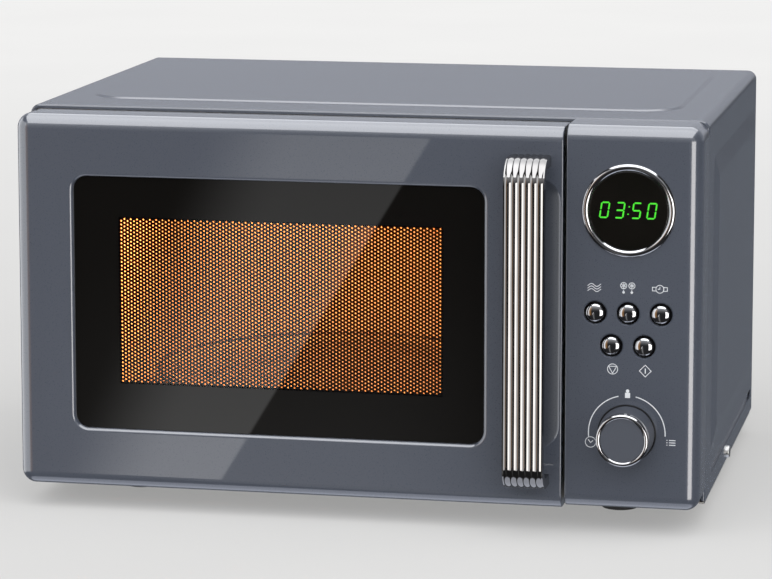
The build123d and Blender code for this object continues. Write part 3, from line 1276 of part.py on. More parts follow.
def knob_body():
    """Tapered knob with a seat for its bright ring and a bore for the spindle."""
    seat_r, seat_h = KNOB_TIP_R - KNOB_RING_W, KNOB_H - KNOB_RING_H
    slope = (KNOB_R - KNOB_TIP_R) / KNOB_H
    profile = [(0, 0), (KNOB_R, 0), (KNOB_R - slope * seat_h, seat_h), (seat_r, seat_h)]
    profile += [(seat_r, KNOB_H - KNOB_DISC_RECESS), (0, KNOB_H - KNOB_DISC_RECESS)]
    base = PANEL_Y - KNOB_GAP
    bore_y = (base - SPINDLE_GRIP - SEAT, base + CUT)
    return turned(profile, PANEL_X, base, KNOB_Z) - rod_y(PANEL_X, bore_y, KNOB_Z, SPINDLE_R + PRESS_GAP)


def knob_ring():
    seat_r, seat_h = KNOB_TIP_R - KNOB_RING_W, KNOB_H - KNOB_RING_H
    outer = KNOB_R - (KNOB_R - KNOB_TIP_R) * seat_h / KNOB_H
    edge_h = KNOB_H - KNOB_CREST
    profile = [(seat_r, edge_h), (seat_r, seat_h), (outer, seat_h), (KNOB_TIP_R, edge_h)]
    return turned(profile, PANEL_X, PANEL_Y - KNOB_GAP, KNOB_Z, KNOB_CREST)


def button_stem_end():
    return BOARD_Y - KEY_H


def button(name):
    """Domed cap with a collar behind the panel and a stem to its key switch."""
    x, z = BUTTON_PLACES[name]
    collar = (PANEL_IN + BUTTON_GAP, PANEL_IN + BUTTON_GAP + BUTTON_COLLAR_T)
    face = PANEL_Y
    cap = rod_y(x, (face, collar[0]), z, BUTTON_R) + front_dome(x, face, z, BUTTON_R, BUTTON_DOME_H)
    stem = rod_y(x, (collar[0], button_stem_end()), z, BUTTON_STEM_R)
    return cap + rod_y(x, collar, z, BUTTON_COLLAR_R) + stem


NODES = {
    "cabinet": cabinet(),
    "rear_panel": rear_panel(),
    "base_plate": base_plate(),
    "feet": feet(),
    "case_screws": case_screws(),
    "cord_gland": cord_gland(),
    "front_plate": front_plate(),
    "oven_cavity": oven_cavity(),
    "waveguide_cover": waveguide_cover(),
    "lamp_holder": lamp_holder(),
    "lamp_bulb": lamp_bulb(),
    "turntable_motor": turntable_motor(),
    "turntable_coupler": turntable_coupler(),
    "glass_turntable": glass_turntable(),
    "roller_ring": roller_ring(),
    "waveguide": waveguide(),
    "magnetron_yoke": magnetron_yoke(),
    "magnetron_fins": magnetron_fins(),
    "magnetron_antenna": magnetron_antenna(),
    "transformer_core": transformer_core(),
    "transformer_coils": transformer_coils(),
    "hv_capacitor": hv_capacitor(),
    "capacitor_clamp": capacitor_clamp(),
    "hv_diode": hv_diode(),
    "fan_duct": fan_duct(),
    "fan_motor": fan_motor(),
    "fan_blade": fan_blade(),
    "thermal_cutouts": thermal_cutouts(),
    "filter_board": filter_board(),
    "door_frame": door_frame(),
    "door_glass": door_glass(),
    "door_screen": door_screen(),
    "door_choke": door_choke(),
    "handle_bar": handle_bar(),
    "handle_screws": handle_screws(),
    "door_hinges": Compound(children=[hinge(False), hinge(True)]),
    "door_latch": door_latch(),
    "latch_spring": latch_spring(),
    "interlock_bracket": interlock_bracket(),
    "interlock_switches": interlock_switches(),
    "control_panel": control_panel(),
    "control_board": control_board(),
    "display_bezel": display_bezel(),
    "display_lens": display_lens(),
    "display_module": display_module(),
    "rotary_encoder": rotary_encoder(),
    "encoder_spindle": encoder_spindle(),
    "knob_body": knob_body(),
    "knob_ring": knob_ring(),
}
NODES.update({f"roller_{index + 1}": roller(index) for index in range(ROLLER_COUNT)})
NODES.update({name: button(name) for name in BUTTON_PLACES})
NODES.update({name: plunger(name) for name in SWITCH_PLACES})

os.makedirs("parts", exist_ok=True)
for node, shape in NODES.items():
    export_step(shape, f"parts/{node}.step")
print(len(NODES), "nodes written")
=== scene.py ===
# %% [markdown]
# # A countertop microwave oven
# The solid model is loaded first and stays as it is: every piece below is measured from it, in metres, with
# +Z up and the door towards -Y. This lesson sets up a plain studio, gives each surface its finish, punches the
# door screen, winds the latch spring, prints the marks on the control panel, and lights the clock and the cavity.

# %% Load the frame
import math

import bmesh
import bpy
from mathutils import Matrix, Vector


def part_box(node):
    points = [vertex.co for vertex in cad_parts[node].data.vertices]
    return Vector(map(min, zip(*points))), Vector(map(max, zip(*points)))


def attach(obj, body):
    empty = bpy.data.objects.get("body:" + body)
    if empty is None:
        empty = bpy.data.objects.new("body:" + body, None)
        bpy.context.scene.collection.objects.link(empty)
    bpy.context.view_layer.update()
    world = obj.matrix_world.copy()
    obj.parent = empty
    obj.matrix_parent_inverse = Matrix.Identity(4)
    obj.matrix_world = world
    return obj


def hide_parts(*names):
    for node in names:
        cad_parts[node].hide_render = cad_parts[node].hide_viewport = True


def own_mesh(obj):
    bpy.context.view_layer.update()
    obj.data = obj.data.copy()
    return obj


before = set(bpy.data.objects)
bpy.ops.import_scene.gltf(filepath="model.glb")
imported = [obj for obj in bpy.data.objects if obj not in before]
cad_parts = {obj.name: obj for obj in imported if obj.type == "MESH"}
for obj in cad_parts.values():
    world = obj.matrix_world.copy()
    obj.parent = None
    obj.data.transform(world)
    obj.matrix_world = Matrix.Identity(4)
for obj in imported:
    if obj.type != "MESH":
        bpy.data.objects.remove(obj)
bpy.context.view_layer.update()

MM = 0.001

# %% [markdown]
# ## Camera
# The photograph was taken from a little above and to the right, from over two metres away, with a long lens.
# The place, the lens and the small downward shift were worked out from the straight edges of the casing, so the
# camera is set by numbers rather than aimed by eye.

# %% Camera
CAMERA_PLACE = Vector((0.45467, -2.24285, 0.52474))
CAMERA_AZIMUTH = math.radians(11.69)
CAMERA_ELEVATION = math.radians(8.27)
SENSOR_WIDTH, FOCAL_LENGTH = 36.0, 161.3
LENS_SHIFT = -0.1295
FAR_CLIP = 60.0
camera_data = bpy.data.cameras.new("camera")
camera_data.sensor_width = SENSOR_WIDTH
camera_data.lens = FOCAL_LENGTH
camera_data.shift_y = LENS_SHIFT
camera_data.clip_end = FAR_CLIP
camera = bpy.data.objects.new("camera", camera_data)
camera_back = Vector((
    math.sin(CAMERA_AZIMUTH) * math.cos(CAMERA_ELEVATION),
    -math.cos(CAMERA_AZIMUTH) * math.cos(CAMERA_ELEVATION),
    math.sin(CAMERA_ELEVATION),
))
camera.location = CAMERA_PLACE
camera.rotation_euler = camera_back.to_track_quat("Z", "Y").to_euler()
bpy.context.scene.collection.objects.link(camera)
bpy.context.scene.camera = camera
bpy.context.scene.view_settings.view_transform = "Standard"
print("camera", [round(x, 3) for x in camera.location])

# %% [markdown]
# ## Small helpers for node trees
# Every finish and the studio are node trees, and a few helpers keep them short. `calc` adds one math node,
# `soft_step` goes from 0 to 1 and draws every edge in this file, `span` is a band with two such edges, `rest_of`
# turns a mask over, and `tinted` and `total` make coloured light of masks and add it up.


# %% Node helpers
def wire(tree, value, socket):
    """Feeds a socket from another socket, or sets it to a value."""
    if isinstance(value, bpy.types.NodeSocket):
        tree.links.new(value, socket)
    else:
        socket.default_value = value


def calc(tree, operation, *values):
    """One math node."""
    node = tree.nodes.new("ShaderNodeMath")
    node.operation = operation
    for value, socket in zip(values, node.inputs):
        wire(tree, value, socket)
    return node.outputs["Value"]


def soft_step(tree, value, start, end):
    """0 before start, 1 after end, smooth between; start may be the larger one."""
    node = tree.nodes.new("ShaderNodeMapRange")
    node.interpolation_type = "SMOOTHSTEP"
    wire(tree, value, node.inputs["Value"])
    node.inputs["From Min"].default_value = start
    node.inputs["From Max"].default_value = end
    return node.outputs["Result"]


def span(tree, value, low, high, soft):
    """1 between low and high, with soft ends."""
    rise = soft_step(tree, value, low - soft, low + soft)
    fall = soft_step(tree, value, high + soft, high - soft)
    return calc(tree, "MULTIPLY", rise, fall)


def rest_of(tree, mask):
    """1 where the mask is 0."""
    return calc(tree, "SUBTRACT", 1.0, mask)


def tinted(tree, mask, colour, strength):
    """A mask turned into coloured light."""
    node = tree.nodes.new("ShaderNodeVectorMath")
    node.operation = "SCALE"
    node.inputs[0].default_value = [c * strength for c in colour]
    tree.links.new(mask, node.inputs["Scale"])
    return node.outputs["Vector"]


def total(tree, parts, base):
    """Adds up coloured lights on an even base."""
    result = base
    for part in parts:
        node = tree.nodes.new("ShaderNodeVectorMath")
        wire(tree, result, node.inputs[0])
        wire(tree, part, node.inputs[1])
        result = node.outputs["Vector"]
    return result


def mix_sockets(node, kind):
    """The two inputs and the result of a Mix node, for one kind of value."""
    first, second = [socket for socket in node.inputs if socket.type == kind and socket.name in ("A", "B")]
    result = [socket for socket in node.outputs if socket.type == kind][0]
    return first, second, result


print("node helpers", [helper.__name__ for helper in (wire, calc, soft_step, span, rest_of, tinted, total)])

# %% [markdown]
# ## Studio
# Gloss paint and chrome show what is around them, so the studio is drawn as softboxes on the sky. Directions come
# from the sky's own coordinates, so nothing depends on the camera. Each direction is read as an azimuth from the
# front, with the right positive, an elevation, and a pitch that runs on from the front over the top.

# %% Sky directions
world = bpy.data.worlds.new("studio")
bpy.context.scene.world = world
world.use_nodes = True
sky = world.node_tree
split = sky.nodes.new("ShaderNodeSeparateXYZ")
sky.links.new(sky.nodes.new("ShaderNodeTexCoord").outputs["Generated"], split.inputs["Vector"])
towards_right, upwards = split.outputs["X"], split.outputs["Z"]
towards_front = calc(sky, "MULTIPLY", split.outputs["Y"], -1.0)
azimuth = calc(sky, "ARCTAN2", towards_right, towards_front)
elevation = calc(sky, "ARCSINE", upwards)
pitch = calc(sky, "ARCTAN2", upwards, towards_front)
print("sky nodes for directions", len(sky.nodes))

# %% [markdown]
# Three cards stand at the oven's own height. The strip at the right draws the long highlights on the panel's edge
# and the handle, the wide card at the left draws the edges that turn that way, and a faint warm one tints the chrome.

# %% Side cards
SIDE_CARDS = [
    # azimuth, elevation and edge softness in degrees, colour, strength
    ((17, 50), (-24, 7), 1.0, (1.0, 0.97, 0.95), 4.8),  # strip at the right
    ((-125, -36), (-24, 32), 2.0, (0.97, 0.98, 1.0), 1.75),  # card at the left
    ((-38, -24), (-20, 20), 4.0, (1.0, 0.5, 0.15), 0.5),  # warm card left of the front
]


def past_elevation(start, end):
    """0 before one elevation and 1 past the other, in degrees."""
    return soft_step(sky, elevation, math.radians(start), math.radians(end))


def sky_card(turn, rise, soft):
    """A rectangle on the sky, in degrees."""
    across = span(sky, azimuth, math.radians(turn[0]), math.radians(turn[1]), math.radians(soft))
    upward = span(sky, elevation, math.radians(rise[0]), math.radians(rise[1]), math.radians(soft))
    return calc(sky, "MULTIPLY", across, upward)


lights = []
for turn, rise, soft, colour, strength in SIDE_CARDS:
    lights.append(tinted(sky, sky_card(turn, rise, soft), colour, strength))
print("side cards", len(lights))

# %% [markdown]
# The main softbox reaches from high in front to overhead, and its far half is dimmer. It lights the cabinet's top
# and every bevel that looks up. Under its front edge a weak spill fades out towards the horizon.

# %% Main softbox
MAIN_COLOUR, MAIN_STRENGTH, SPILL_STRENGTH = (0.98, 0.99, 1.02), 4.3, 0.7
FRONT_CARD = ((-30, 30), (32, 100), 2.0)  # azimuth, elevation and softness in degrees
SPILL_CARD, SPILL_RISES = ((-45, 45), (-10, 34), 3.0), (-6, 34)
OVERHEAD_REACH, OVERHEAD_SOFT = 0.7, 0.08  # sideways slope
OVERHEAD_STARTS = (28.65, 34.38)  # elevation in degrees
FAR_HALF_STARTS, FAR_HALF_LOSS = (1.5, 2.15), 0.5  # pitch in radians
LEAST_SLOPE = 0.05  # keeps divisions away from zero
sideways = calc(sky, "DIVIDE", towards_right, calc(sky, "MAXIMUM", upwards, LEAST_SLOPE))
overhead = span(sky, sideways, -OVERHEAD_REACH, OVERHEAD_REACH, OVERHEAD_SOFT)
overhead = calc(sky, "MULTIPLY", overhead, past_elevation(*OVERHEAD_STARTS))
main_box = calc(sky, "MAXIMUM", sky_card(*FRONT_CARD), overhead)
far_half = soft_step(sky, pitch, *FAR_HALF_STARTS)
dimmed = rest_of(sky, calc(sky, "MULTIPLY", far_half, FAR_HALF_LOSS))
lights.append(tinted(sky, calc(sky, "MULTIPLY", main_box, dimmed), MAIN_COLOUR, MAIN_STRENGTH))
spill = calc(sky, "MULTIPLY", past_elevation(*SPILL_RISES), sky_card(*SPILL_CARD))
lights.append(tinted(sky, spill, MAIN_COLOUR, SPILL_STRENGTH))
print("main softbox and spill, lights so far", len(lights))

# %% [markdown]
# Behind the oven hangs a grey backdrop over a dark far ground, which the cabinet's top and side mirror. The pale
# ground straight below lightens every edge that looks down, and a faint even fill keeps the darkest mirrors from
# black.

# %% Backdrop and ground
BACKDROP = ((0.93, 0.97, 1.08), 0.41)  # colour, strength
FAR_GROUND = ((0.86, 0.96, 1.14), 0.11)
NEAR_GROUND = ((0.9, 0.95, 1.1), 1.1)
FILL = (0.04, 0.04, 0.042)
BACKDROP_STARTS, BACKDROP_TOP, BACKDROP_SOFT = (95, 125), 70, 4  # degrees from the front, elevation, softness
FAR_GROUND_STARTS, NEAR_GROUND_STARTS = (-1, -7), (-54, -62)  # elevation in degrees
behind = soft_step(sky, calc(sky, "ABSOLUTE", azimuth), *[math.radians(turn) for turn in BACKDROP_STARTS])
above = span(sky, elevation, 0.0, math.radians(BACKDROP_TOP), math.radians(BACKDROP_SOFT))
far_ground = calc(sky, "MULTIPLY", behind, past_elevation(*FAR_GROUND_STARTS))
lights.append(tinted(sky, calc(sky, "MULTIPLY", behind, above), *BACKDROP))
lights.append(tinted(sky, far_ground, *FAR_GROUND))
lights.append(tinted(sky, past_elevation(*NEAR_GROUND_STARTS), *NEAR_GROUND))
print("backdrop and ground, lights so far", len(lights))

# %% [markdown]
# One more card has a slanting edge that crosses the door. In the mirror's view of the door it is a half plane:
# its edge runs from EDGE_TOP to EDGE_LOW, given as sideways and upward slopes of the mirrored ray. It is brightest
# at the edge, fades towards the left, and grows narrower and brighter further down. A soft glow lies at its foot.

# %% Slanting card
WHITE = (1.0, 1.0, 1.0)
EDGE_TOP = Vector((-0.1924, -0.1311))
EDGE_LOW = Vector((-0.2596, -0.2417))
EDGE_SOFT = 0.0006
FADE_START, FADE_END, FADE_NARROWS = 0.030, 0.0595, 0.149  # distance from the edge, and its change with the drop
LEVEL, BRIGHTNESS, BRIGHTENS = -0.147, 0.86, 4.5  # upward slope, brightness there, and its change with the drop
CARD_TOP, CARD_FOOT = (-0.112, -0.135), (-0.34, -0.26)  # upward slopes between which each end fades in
GLOW_STRENGTH, GLOW_FACES_FRONT = 0.3, (0.5, 0.8)
GLOW_TOP, GLOW_RIGHT, GLOW_LEFT = (-0.15, -0.26), (-0.15, -0.22), (-0.34, -0.26)
along = (EDGE_LOW - EDGE_TOP).normalized()
safe_front = calc(sky, "MAXIMUM", towards_front, LEAST_SLOPE)
slope_x = calc(sky, "DIVIDE", towards_right, safe_front)
slope_z = calc(sky, "DIVIDE", upwards, safe_front)
from_edge = calc(
    sky, "ADD",
    calc(sky, "MULTIPLY", calc(sky, "SUBTRACT", slope_x, EDGE_TOP.x), along.y),
    calc(sky, "MULTIPLY", calc(sky, "SUBTRACT", slope_z, EDGE_TOP.y), -along.x),
)
drop = calc(sky, "SUBTRACT", LEVEL, slope_z)
far_side = calc(sky, "ADD", from_edge, calc(sky, "MULTIPLY", drop, FADE_NARROWS))
card = calc(sky, "ADD", calc(sky, "MULTIPLY", drop, BRIGHTENS), BRIGHTNESS)
for value, ends in ((from_edge, (-EDGE_SOFT, EDGE_SOFT)), (far_side, (FADE_END, FADE_START)),
                    (slope_z, CARD_TOP), (slope_z, CARD_FOOT)):
    card = calc(sky, "MULTIPLY", card, soft_step(sky, value, *ends))
glow = soft_step(sky, towards_front, *GLOW_FACES_FRONT)
for value, ends in ((slope_z, GLOW_TOP), (slope_x, GLOW_RIGHT), (slope_x, GLOW_LEFT)):
    glow = calc(sky, "MULTIPLY", glow, soft_step(sky, value, *ends))
lights += [tinted(sky, card, WHITE, 1.0), tinted(sky, glow, WHITE, GLOW_STRENGTH)]
print("slanting card edge", [round(x, 3) for x in along], "lights", len(lights))

# %% [markdown]
# Matt surfaces do not need the softboxes' shapes. For them the sky is an even daylight that grows towards the top,
# the front and a little the right, which keeps their shading smooth; the sky tells the two apart by the kind of ray
# that asks. Sampling by the surfaces alone keeps both kinds apart.

# %% Daylight for matt surfaces
DAYLIGHT_EVEN = 0.25
DAYLIGHT_GROWS = ((upwards, 1.2), (towards_right, 0.4), (towards_front, 1.5))
daylight = DAYLIGHT_EVEN
for direction, gain in DAYLIGHT_GROWS:
    daylight = calc(sky, "ADD", calc(sky, "MULTIPLY", direction, gain), daylight)
daylight = tinted(sky, calc(sky, "MAXIMUM", daylight, 0.0), WHITE, 1.0)
choice = sky.nodes.new("ShaderNodeMix")
choice.data_type = "VECTOR"
for_gloss, for_matt, chosen = mix_sockets(choice, "VECTOR")
sky.links.new(sky.nodes.new("ShaderNodeLightPath").outputs["Diffuse Depth"], choice.inputs["Factor"])
sky.links.new(total(sky, lights, FILL), for_gloss)
sky.links.new(daylight, for_matt)
sky.links.new(chosen, sky.nodes["Background"].inputs["Color"])
world.cycles.sampling_method = "NONE"
print("sky nodes", len(sky.nodes))

# %% [markdown]
# ## Finishes
# Each finish is one procedural material. They share a recipe: noise on Object coordinates varies the colour and
# the roughness a little and gives a fine bump, at the scale that the real surface has. Where one solid wears two
# finishes, a mask on its own X, Y and Z lays the second over the first.

# %% Finish helpers
NOISE_DETAIL = 2.0
RAMP_STOPS = (0.3, 0.7)
BUMP_DEPTH = 0.1 * MM
FINISHES = {}


def shader_of(material):
    """The surface node of a finish."""
    return material.node_tree.nodes["Principled BSDF"]


def set_surface(material, **values):
    """Sets constants on the surface node; spaces in a name are given as underscores."""
    for key, value in values.items():
        shader_of(material).inputs[key.replace("_", " ")].default_value = value


def finish(name, colours, roughness, grain, bump=0.0, metallic=0.0):
    """A material whose colour and roughness wander between two values, with an optional bump of the same grain."""
    material = bpy.data.materials.new(name)
    material.use_nodes = True
    tree, shader = material.node_tree, shader_of(material)
    noise = tree.nodes.new("ShaderNodeTexNoise")
    noise.inputs["Scale"].default_value = grain
    noise.inputs["Detail"].default_value = NOISE_DETAIL
    tree.links.new(tree.nodes.new("ShaderNodeTexCoord").outputs["Object"], noise.inputs["Vector"])
    ramp = tree.nodes.new("ShaderNodeValToRGB")
    for stop, position, colour in zip(ramp.color_ramp.elements, RAMP_STOPS, colours):
        stop.position = position
        stop.color = (*colour, 1.0)
    tree.links.new(noise.outputs["Fac"], ramp.inputs["Fac"])
    tree.links.new(ramp.outputs["Color"], shader.inputs["Base Color"])
    spread = tree.nodes.new("ShaderNodeMapRange")
    spread.inputs["To Min"].default_value, spread.inputs["To Max"].default_value = roughness
    tree.links.new(noise.outputs["Fac"], spread.inputs["Value"])
    tree.links.new(spread.outputs["Result"], shader.inputs["Roughness"])
    shader.inputs["Metallic"].default_value = metallic
    if bump:
        dent = tree.nodes.new("ShaderNodeBump")
        dent.inputs["Strength"].default_value = bump
        dent.inputs["Distance"].default_value = BUMP_DEPTH
        tree.links.new(noise.outputs["Fac"], dent.inputs["Height"])
        tree.links.new(dent.outputs["Normal"], shader.inputs["Normal"])
    return material


def place_on_piece(tree):
    """The piece's own X, Y and Z as sockets."""
    node = tree.nodes.new("ShaderNodeSeparateXYZ")
    tree.links.new(tree.nodes.new("ShaderNodeTexCoord").outputs["Object"], node.inputs["Vector"])
    return node.outputs


def second_colour(material, mask, colour):
    """Lays another colour over the finish where the mask is 1."""
    tree, base = material.node_tree, shader_of(material).inputs["Base Color"]
    skin = tree.nodes.new("ShaderNodeMix")
    skin.data_type = "RGBA"
    first, over, both = mix_sockets(skin, "RGBA")
    tree.links.new(base.links[0].from_socket, first)
    over.default_value = (*colour, 1.0)
    tree.links.new(mask, skin.inputs["Factor"])
    tree.links.new(both, base)


print("finish recipe: noise detail", NOISE_DETAIL, "bump depth", BUMP_DEPTH)

# %% [markdown]
# The casing and the door wear the same slate-grey lacquer. A clear coat over the colour gives the double
# highlight of real lacquer; the cabinet's coat is softer than the door's. In the finger recess behind the handle
# the coat is left off and the colour is darkened: painted shade where the handle shades the recess.

# %% Slate lacquer
SLATE = ((0.0615, 0.0705, 0.093), (0.0645, 0.0735, 0.096))
# painted shade: the colour inside the finger recess, darker than the lacquer
RECESS_SHADE_COLOUR = (0.042, 0.048, 0.062)
RECESS_LOW = Vector((101.5, -150.9, 53.0)) * MM
RECESS_HIGH = Vector((131.8, -150.2, 225.0)) * MM
RECESS_SHADE_EDGE = 0.3 * MM
front_paint = finish("slate_lacquer_front", SLATE, (0.26, 0.3), 1600.0)
set_surface(front_paint, Coat_Roughness=0.01, Coat_IOR=1.7)
tree = front_paint.node_tree
place = place_on_piece(tree)
# painted shade: mask of the finger recess, where the colour is darkened and the coat left off
recess_shade = soft_step(tree, place["Y"], RECESS_LOW.y, RECESS_HIGH.y)
for axis, low, high in (("X", RECESS_LOW.x, RECESS_HIGH.x), ("Z", RECESS_LOW.z, RECESS_HIGH.z)):
    recess_shade = calc(tree, "MULTIPLY", recess_shade, span(tree, place[axis], low, high, RECESS_SHADE_EDGE))
second_colour(front_paint, recess_shade, RECESS_SHADE_COLOUR)
tree.links.new(rest_of(tree, recess_shade), shader_of(front_paint).inputs["Coat Weight"])
case_paint = finish("slate_lacquer_cabinet", SLATE, (0.18, 0.24), 700.0, bump=0.02)
set_surface(case_paint, Coat_Weight=0.45, Coat_Roughness=0.09)
FINISHES.update(front_paint=front_paint, case_paint=case_paint)
print("lacquers", front_paint.name, case_paint.name)

# %% [markdown]
# The metals differ in how they were worked: plating is smooth and keeps sharp reflections, rolled and zinc-coated
# sheet scatters them, and enamelled copper wire has a fine ribbed grain. So each has its own roughness and grain.
# The handle wears a darker copy of the chrome: painted shade that dims its reflections.

# %% Metals
CHROME = ((0.38, 0.38, 0.39), (0.41, 0.41, 0.42))
CHROME_GLOSS = (0.02, 0.05)
METALS = {
    # slot: finish, two colours, roughness, grain, bump, metallic
    "bright_chrome": ("bright_chrome", CHROME, CHROME_GLOSS, 40.0, 0.0, 1.0),
    "plain_steel": ("zinc_plated_steel", ((0.50, 0.50, 0.49), (0.62, 0.62, 0.60)), (0.32, 0.5), 260.0, 0.03, 1.0),
    "motor_steel": ("motor_steel", ((0.42, 0.42, 0.42), (0.52, 0.52, 0.51)), (0.4, 0.55), 500.0, 0.05, 1.0),
    "bare_aluminium": ("bare_aluminium", ((0.72, 0.72, 0.72), (0.8, 0.8, 0.8)), (0.3, 0.42), 400.0, 0.03, 1.0),
    "copper_winding": ("enamelled_copper", ((0.42, 0.16, 0.06), (0.62, 0.26, 0.1)), (0.25, 0.45), 900.0, 0.2, 0.8),
}
FINISHES.update({slot: finish(*recipe) for slot, recipe in METALS.items()})
# painted shade: the handle's chrome is a darker copy of the bright chrome
handle_shaded_chrome = finish("handle_shaded_chrome", ((0.21, 0.205, 0.20), (0.24, 0.235, 0.23)), (0.03, 0.06), 60.0, metallic=1.0)
print("metals", len(METALS) + 1)

# %% [markdown]
# Moulded plastic carries the fine grain of its mould, rubber is rougher and nearly black, and enamel is smooth with
# a slight orange peel. The door screen's enamel is a dead black with no gloss, so that only its holes are seen.

# %% Plastics, rubber and enamel
MOULDED = {
    # slot: finish, two colours, roughness, grain, bump
    "rubber_feet": ("foot_rubber", ((0.012, 0.012, 0.012), (0.025, 0.025, 0.025)), (0.7, 0.9), 1500.0, 0.3),
    "black_plastic": ("grained_black_plastic", ((0.010, 0.010, 0.011), (0.018, 0.018, 0.019)), (0.38, 0.55),
                      1800.0, 0.25),
    "signal_plastic": ("switch_plastic", ((0.30, 0.02, 0.015), (0.40, 0.03, 0.02)), (0.35, 0.5), 1200.0, 0.1),
    "white_plastic": ("white_plastic", ((0.66, 0.66, 0.64), (0.75, 0.75, 0.73)), (0.35, 0.5), 900.0, 0.08),
    "cavity_enamel": ("cavity_enamel", ((0.38, 0.37, 0.34), (0.45, 0.44, 0.41)), (0.28, 0.4), 1100.0, 0.06),
    "screen_steel": ("black_screen_enamel", ((0.003, 0.0025, 0.002), (0.005, 0.004, 0.003)), (0.55, 0.7),
                     1400.0, 0.05),
    "mica_sheet": ("mica_sheet", ((0.36, 0.32, 0.25), (0.55, 0.50, 0.42)), (0.3, 0.6), 300.0, 0.2),
    "circuit_board": ("board_lacquer", ((0.01, 0.09, 0.04), (0.02, 0.14, 0.06)), (0.25, 0.4), 350.0, 0.1),
}
FINISHES.update({slot: finish(*recipe) for slot, recipe in MOULDED.items()})
set_surface(FINISHES["screen_steel"], Specular_IOR_Level=0.0)
print("plastics and enamels", len(MOULDED))

# %% [markdown]
# The door and the turntable are clear glass. The display's lens is smoked so dark that only lit digits show, so it
# can be a glossy black. The lamp's bulb glows by itself.

# %% Glass and lamp
GLASSES = {
    # slot: finish, two colours, roughness, grain
    "window_glass": ("door_glass", ((0.93, 0.94, 0.93), (0.97, 0.98, 0.97)), (0.0, 0.012), 9.0),
    "tray_glass": ("turntable_glass", ((0.90, 0.95, 0.93), (0.95, 0.98, 0.96)), (0.02, 0.06), 60.0),
    "display_tint": ("smoked_display_lens", ((0.003, 0.003, 0.002), (0.006, 0.005, 0.004)), (0.02, 0.05), 30.0),
    "lamp_glass": ("lamp_glass", ((1.0, 0.86, 0.6), (1.0, 0.9, 0.7)), (0.1, 0.2), 80.0),
}
FINISHES.update({slot: finish(*recipe) for slot, recipe in GLASSES.items()})
set_surface(FINISHES["window_glass"], IOR=1.35)
set_surface(FINISHES["tray_glass"], Transmission_Weight=1.0, IOR=1.5)
set_surface(FINISHES["lamp_glass"], Emission_Color=(1.0, 0.62, 0.22, 1.0), Emission_Strength=6.0)
print("glasses", len(GLASSES))

# %% [markdown]
# ## Floor
# The oven stands on a wide pale sheet that takes its shadow. The sheet also glows a little by itself, more with
# distance from the oven: painted light that lifts its shadow. Gloss does not see the sheet: what paint and chrome
# mirror from below is drawn on the sky.

# %% Floor
FLOOR_RADIUS, FLOOR_SIDES = 9.0, 96
FLOOR_NEAR, FLOOR_FAR = 0.1, 3.0
# painted light: the floor's own glow, and how much it grows with distance
FLOOR_GLOW, FLOOR_GLOW_GROWS = 0.3, 0.13
floor_mesh = bpy.data.meshes.new("floor")
shape = bmesh.new()
bmesh.ops.create_circle(shape, cap_ends=True, segments=FLOOR_SIDES, radius=FLOOR_RADIUS)
shape.to_mesh(floor_mesh)
shape.free()
floor = bpy.data.objects.new("floor", floor_mesh)
bpy.context.scene.collection.objects.link(floor)
floor.visible_glossy = False
floor.visible_transmission = False
pale_floor = finish("pale_floor", ((0.40, 0.399, 0.397), (0.415, 0.414, 0.411)), (0.8, 0.95), 3.0)
set_surface(pale_floor, Emission_Color=(1.0, 0.997, 0.99, 1.0), Specular_IOR_Level=0.0)
tree = pale_floor.node_tree
# painted light: the floor glows more further from the oven
away = soft_step(tree, place_on_piece(tree)["Y"], FLOOR_NEAR, FLOOR_FAR)
floor_glow = calc(tree, "ADD", calc(tree, "MULTIPLY", away, FLOOR_GLOW_GROWS), FLOOR_GLOW)
tree.links.new(floor_glow, shader_of(pale_floor).inputs["Emission Strength"])
floor_mesh.materials.append(pale_floor)
print("floor radius", FLOOR_RADIUS)

# %% [markdown]
# ## Dress the solids
# Every solid came with a slot that names its material, so each slot takes the finish of that name. A few solids
# then get a finish of their own, the handle first.


# %% Dress the solids
def dress(name, material):
    """Gives one solid a finish of its own."""
    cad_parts[name].material_slots[0].material = material


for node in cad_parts.values():
    slot = node.material_slots[0]
    slot.material = FINISHES[slot.material.name.split(".")[0]]
# painted shade: the handle wears the darker chrome
dress("handle_bar", handle_shaded_chrome)
print("finishes", len(FINISHES), "on", len(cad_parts), "nodes")

# %% [markdown]
# A button's cap is plated where it stands in front of the panel. Behind the panel's face the collar is black
# and not metallic: painted shade, so each button seems to float in a dark well. The change comes at a
# depth, so the place along Y is its mask.

# %% Button caps
PANEL_FACE_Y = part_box("control_panel")[0].y
WELL_SHADE_FADES, WELL_SHADE_ENDS = 0.3 * MM, 0.5 * MM  # behind the panel's face
# painted shade: the black of the collar behind the panel's face, where the well is dark
WELL_SHADE_BLACK = (0.006, 0.006, 0.007)
cap_chrome_and_well_shade = finish("plated_button", CHROME, CHROME_GLOSS, 40.0)
tree = cap_chrome_and_well_shade.node_tree
# painted shade: behind the panel's face the cap turns black and not metallic
well_shade = soft_step(tree, place_on_piece(tree)["Y"], PANEL_FACE_Y + WELL_SHADE_FADES, PANEL_FACE_Y + WELL_SHADE_ENDS)
second_colour(cap_chrome_and_well_shade, well_shade, WELL_SHADE_BLACK)
tree.links.new(rest_of(tree, well_shade), shader_of(cap_chrome_and_well_shade).inputs["Metallic"])
caps = [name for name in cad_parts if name.startswith("button_")]
for name in caps:
    dress(name, cap_chrome_and_well_shade)
print("plated caps", len(caps))

# %% [markdown]
# The knob is satin slate, deeper than the lacquer. A thin black line around it on the panel is painted shadow,
# the shadow in the gap under the knob; it is a disc on the panel, so its mask is the distance from the knob's axis.

# %% Knob and its painted shadow ring
KNOB_SHADE = 0.75
